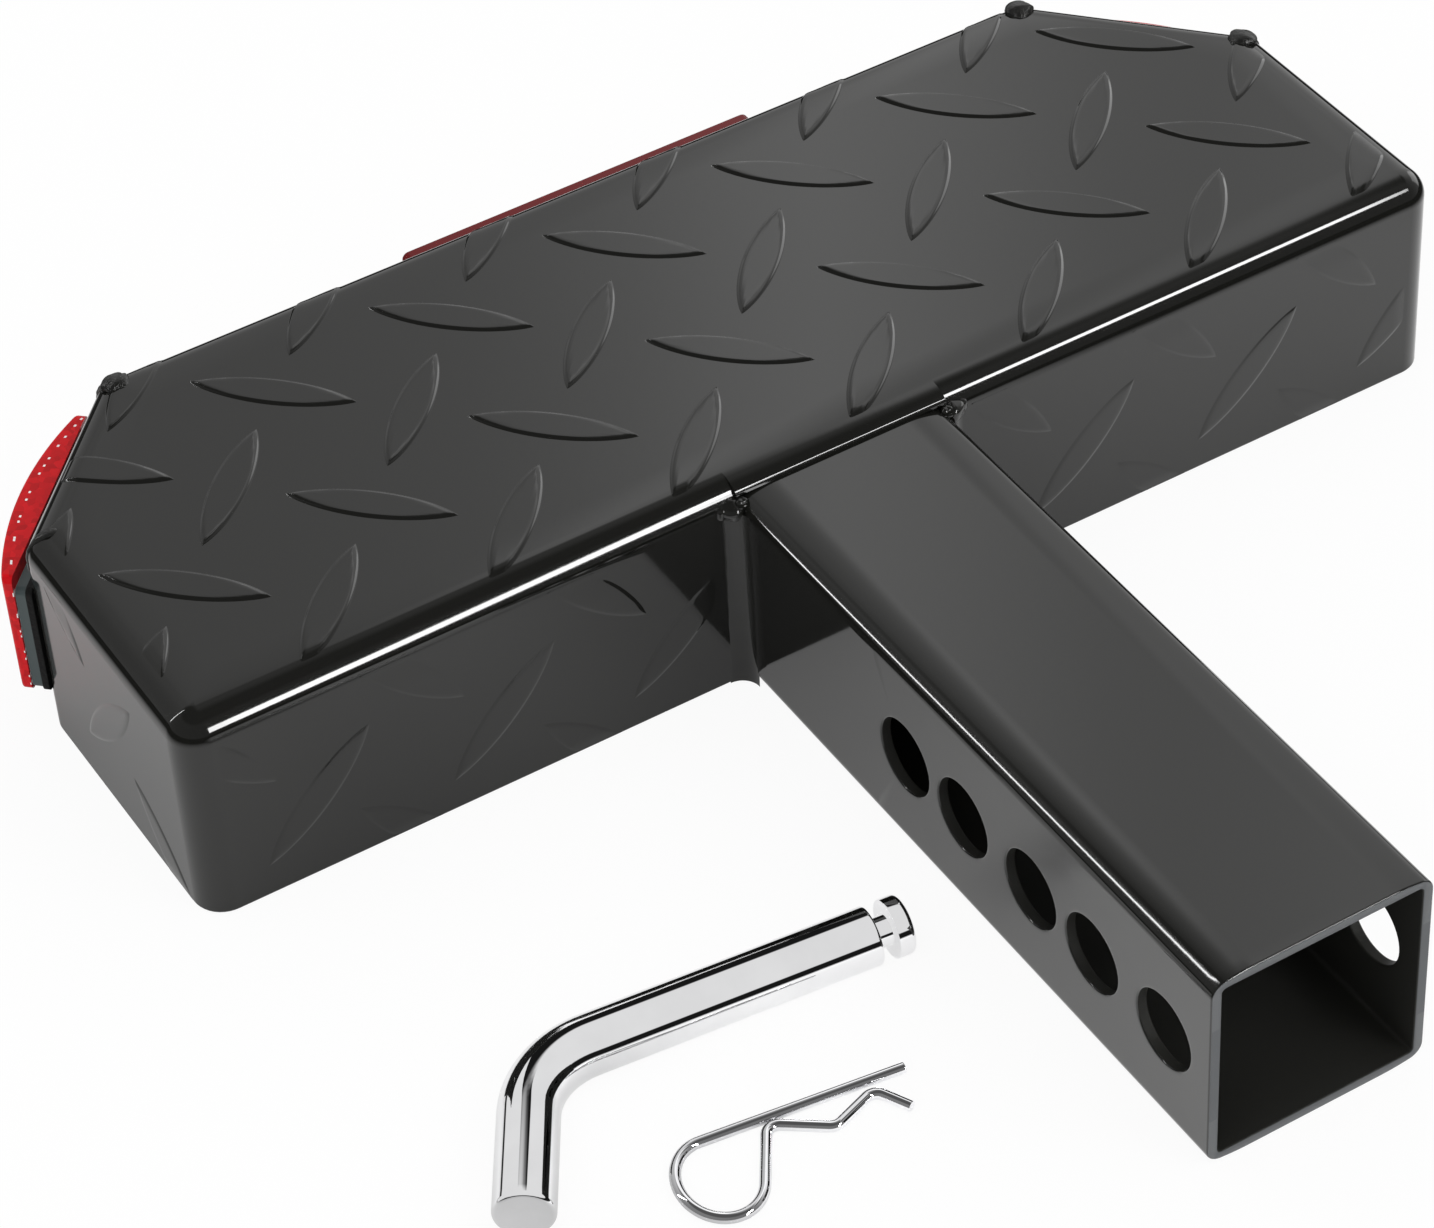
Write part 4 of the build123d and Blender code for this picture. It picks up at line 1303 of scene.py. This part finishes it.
def build_floor(scene):
    """Wide sheet of pale paper: white to the eye, with the object's soft shadow on it. For the coat's mirror image the
    paper round the object is lit and given a painted glow, brightest at the front right, and beyond it is painted dim;
    the chrome mirrors it pale, with the shadows."""
    side = np.linspace(-4.0, 4.0, 3)
    x, y = np.meshgrid(side, side, indexing="ij")
    spots, faces = sheet_of(np.stack([x, y, np.full_like(x, -0.05 * MM)], axis=-1), False, True)
    mesh = bpy.data.meshes.new("floor")
    mesh.from_pydata(spots.tolist(), [], faces)
    floor = bpy.data.objects.new("floor", mesh)
    scene.collection.objects.link(floor)
    material = bpy.data.materials.new("pale studio paper")
    tree = new_tree(material)
    tray, tube = scene.hitch_tray, scene.hitch_tube
    place = add_node(tree, "ShaderNodeTexCoord").outputs["Object"]
    tray_gap = footprint_gap(tree, place, (-tray.length / 2, 0), (tray.length / 2, tray.width))
    tube_gap = footprint_gap(tree, place, (-tube.size / 2, tube.front), (tube.size / 2, 0))
    gap = math_of(tree, "MINIMUM", tray_gap, tube_gap)
    # Painted light for glossy rays: a glow near the object, brightest at the front right, and painted dimness beyond.
    dark = range_of(tree, gap, 42 * MM, 150 * MM, curve="SMOOTHSTEP")
    part = parts_of(tree, place)
    right = range_of(tree, part["X"], -110 * MM, 20 * MM, 0.05, 0.4)
    front = range_of(tree, part["Y"], -30 * MM, -150 * MM, 0.0, 0.3)
    path = add_node(tree, "ShaderNodeLightPath").outputs
    glow = math_of(tree, "MULTIPLY", math_of(tree, "ADD", right, front), path["Is Glossy Ray"])
    unlit = math_of(tree, "MULTIPLY", dark, path["Is Glossy Ray"])
    matt = add_node(tree, "ShaderNodeBsdfDiffuse", {"Color": (*scene.hitch_finish.paper, 1)}).outputs[0]
    shine, dim, white = (
        add_node(tree, "ShaderNodeEmission", {"Color": (1, 1, 1, 1), "Strength": level}).outputs[0]
        for level in (glow, 0.03, 1.0))
    bright = add_node(tree, "ShaderNodeAddShader", {0: matt, 1: shine}).outputs[0]
    lit = add_node(tree, "ShaderNodeMixShader", {0: unlit, 1: bright, 2: dim}).outputs[0]
    seen = math_of(tree, "MULTIPLY", path["Is Camera Ray"], 0.93)
    mirrored = math_of(tree, "MULTIPLY", path["Is Singular Ray"], 0.5)
    shown = math_of(tree, "MAXIMUM", seen, mirrored)
    mix = add_node(tree, "ShaderNodeMixShader", {0: shown, 1: lit, 2: white})
    add_node(tree, "ShaderNodeOutputMaterial", {"Surface": mix.outputs[0]})
    mesh.materials.append(material)


def level_between(tree, value, low, high, soft):
    """1 where a value lies between low and high, with soft ends."""
    up = range_of(tree, value, low - soft, low + soft, curve="SMOOTHSTEP")
    down = range_of(tree, value, high - soft, high + soft, 1.0, 0.0, "SMOOTHSTEP")
    return math_of(tree, "MULTIPLY", up, down)


def bearing_ramp(tree, turn, stops):
    """A level by compass bearing, from pairs of degrees and level between which it runs straight."""
    ramp = add_node(tree, "ShaderNodeValToRGB", {0: turn})
    elements = ramp.color_ramp.elements
    while len(elements) < len(stops):
        elements.new(0.5)
    for element, (degree, level) in zip(elements, stops):
        element.position = degree / 360 + 0.5
        element.color = (level, level, level, 1)
    return ramp.outputs["Color"]


def soft_box(tree, spans, strength):
    """A soft box far away: light from the directions whose values lie within their spans."""
    for value, low, high, soft in spans:
        strength = math_of(tree, "MULTIPLY", level_between(tree, value, low, high, soft), strength)
    return strength


def build_world(scene):
    """Studio all round, by direction: a lit wall at the back and right that ends at the height of the eye, strip lights
    at the front right, left and right, and dim beyond. The chrome stands in a pale tent with a dark opening."""
    world = bpy.data.worlds.new("studio")
    scene.world = world
    tree = new_tree(world)
    part = parts_of(tree, add_node(tree, "ShaderNodeTexCoord").outputs["Generated"])
    x, y, z = part["X"], part["Y"], part["Z"]
    turn = range_of(tree, math_of(tree, "ARCTAN2", x, y), -np.pi, np.pi)
    wall = bearing_ramp(tree, turn, (
        (-180, 0.06), (-62, 0.1), (-40, 0.2), (-13, 0.3), (12, 0.32), (22, 0.27), (26, 0.35), (28.5, 0.56),
        (30.5, 0.84), (33, 0.7), (35, 0.54), (37, 0.52), (40, 0.7), (70, 0.62), (95, 0.25), (130, 0.1), (150, 0.06)))
    lift = level_between(tree, x, 0.4, 0.5, 0.03)
    below = range_of(tree, sum_of(tree, z, lift, -0.1), 0.725, 0.84, 1.6, 0.0, "SMOOTHSTEP")
    lit = math_of(tree, "MULTIPLY", wall, below)
    over = soft_box(tree, ((x, 0.2, 0.46, 0.1), (y, 0.15, 1.5, 0.2)), 0.27)
    total = sum_of(tree, sum_of(tree, lit, over), 0.1)
    slant, left = sum_of(tree, z, x, -2.0), math_of(tree, "MULTIPLY", x, -1.0)
    strips = (
        (((x, 0.25, 0.372, 0.006), (y, -1.5, 0.0, 0.01), (slant, -0.385, -0.08, 0.01)), 26.0),
        (((x, 0.366, 0.502, 0.006), (y, -1.5, 0.0, 0.01), (z, 0.54, 0.65, 0.01)), 26.0),
        (((left, 0.2, 1.5, 0.05), (y, 0.52, 0.65, 0.01), (sum_of(tree, z, y, 5.0), 3.39, 3.475, 0.01)), 26.0),
        (((x, 0.84, 1.5, 0.02), (y, -0.1, 0.45, 0.05), (z, 0.03, 0.46, 0.03)), 1.6),
    )
    for spans, strength in strips:
        total = sum_of(tree, total, soft_box(tree, spans, strength))
    rim = bearing_ramp(tree, turn, ((-180, 0.3), (-100, 0.3), (-80, 0.0), (-40, 0.0), (-20, 0.1), (5, 0.1), (9, 0.7),
                                    (30, 0.76), (44, 0.77), (50, 0.6), (58, 0.3), (180, 0.3)))
    tent = range_of(tree, sum_of(tree, z, rim, -1.0), -0.02, 0.03, 0.01, 0.85, "SMOOTHSTEP")
    path = add_node(tree, "ShaderNodeLightPath").outputs
    soft = mix_of(tree, path["Is Glossy Ray"], 0.9, total)
    sharp = mix_of(tree, path["Is Singular Ray"], soft, tent)
    level = mix_of(tree, path["Is Camera Ray"], sharp, 1.0)
    shade = add_node(tree, "ShaderNodeBackground", {"Color": (1, 1, 1, 1), "Strength": level})
    add_node(tree, "ShaderNodeOutputWorld", {"Surface": shade.outputs[0]})


def build_lamps(scene):
    """Two soft boxes that give the matt surfaces and the floor their light: a wide one at the front right and a
    weaker one at the left."""
    boxes = (
        ("front box", (0.9, -1.5, 1.6), 1.0, 9.0),
        ("left box", (-1.5, -0.6, 1.4), 0.8, 4.0),
    )
    for name, at, size, power in boxes:
        lamp = bpy.data.lights.new(name, "AREA")
        lamp.shape, lamp.size, lamp.energy = "SQUARE", size, power
        box = bpy.data.objects.new(name, lamp)
        box.location = at
        box.rotation_euler = Vector(at).to_track_quat("Z", "Y").to_euler()
        box.visible_camera = False
        box.visible_glossy = False
        scene.collection.objects.link(box)


class HITCH_PT_panel(bpy.types.Panel):
    """Lists the operators that build the step"""
    bl_label = "Hitch Step"
    bl_idname = "HITCH_PT_panel"
    bl_space_type = "VIEW_3D"
    bl_region_type = "UI"
    bl_category = "Hitch Step"

    def draw(self, context):
        for operator in OPERATORS:
            self.layout.operator(operator.bl_idname)


GROUPS = {"hitch_tray": HitchTrayProps, "hitch_tube": HitchTubeProps, "hitch_weld": HitchWeldProps,
          "hitch_reflector": HitchReflectorProps, "hitch_pin": HitchPinProps, "hitch_finish": HitchFinishProps}
OPERATORS = (HITCH_OT_stage, HITCH_OT_tray, HITCH_OT_tube, HITCH_OT_front_welds, HITCH_OT_hidden_welds,
             HITCH_OT_corner_welds, HITCH_OT_reflectors, HITCH_OT_pin, HITCH_OT_clip)


def register():
    """Registers the classes and hangs the settings on the scene."""
    for group in GROUPS.values():
        bpy.utils.register_class(group)
    for name, group in GROUPS.items():
        setattr(bpy.types.Scene, name, bpy.props.PointerProperty(type=group))
    for made in (*OPERATORS, HITCH_PT_panel):
        bpy.utils.register_class(made)


def unregister():
    """Takes the classes and settings away again."""
    for made in (HITCH_PT_panel, *reversed(OPERATORS)):
        bpy.utils.unregister_class(made)
    for name, group in reversed(list(GROUPS.items())):
        delattr(bpy.types.Scene, name)
        bpy.utils.unregister_class(group)


def main():
    """Builds the whole step."""
    register()
    for operator in OPERATORS:
        group, name = operator.bl_idname.split(".")
        getattr(getattr(bpy.ops, group), name)()


if __name__ == "__main__":
    main()
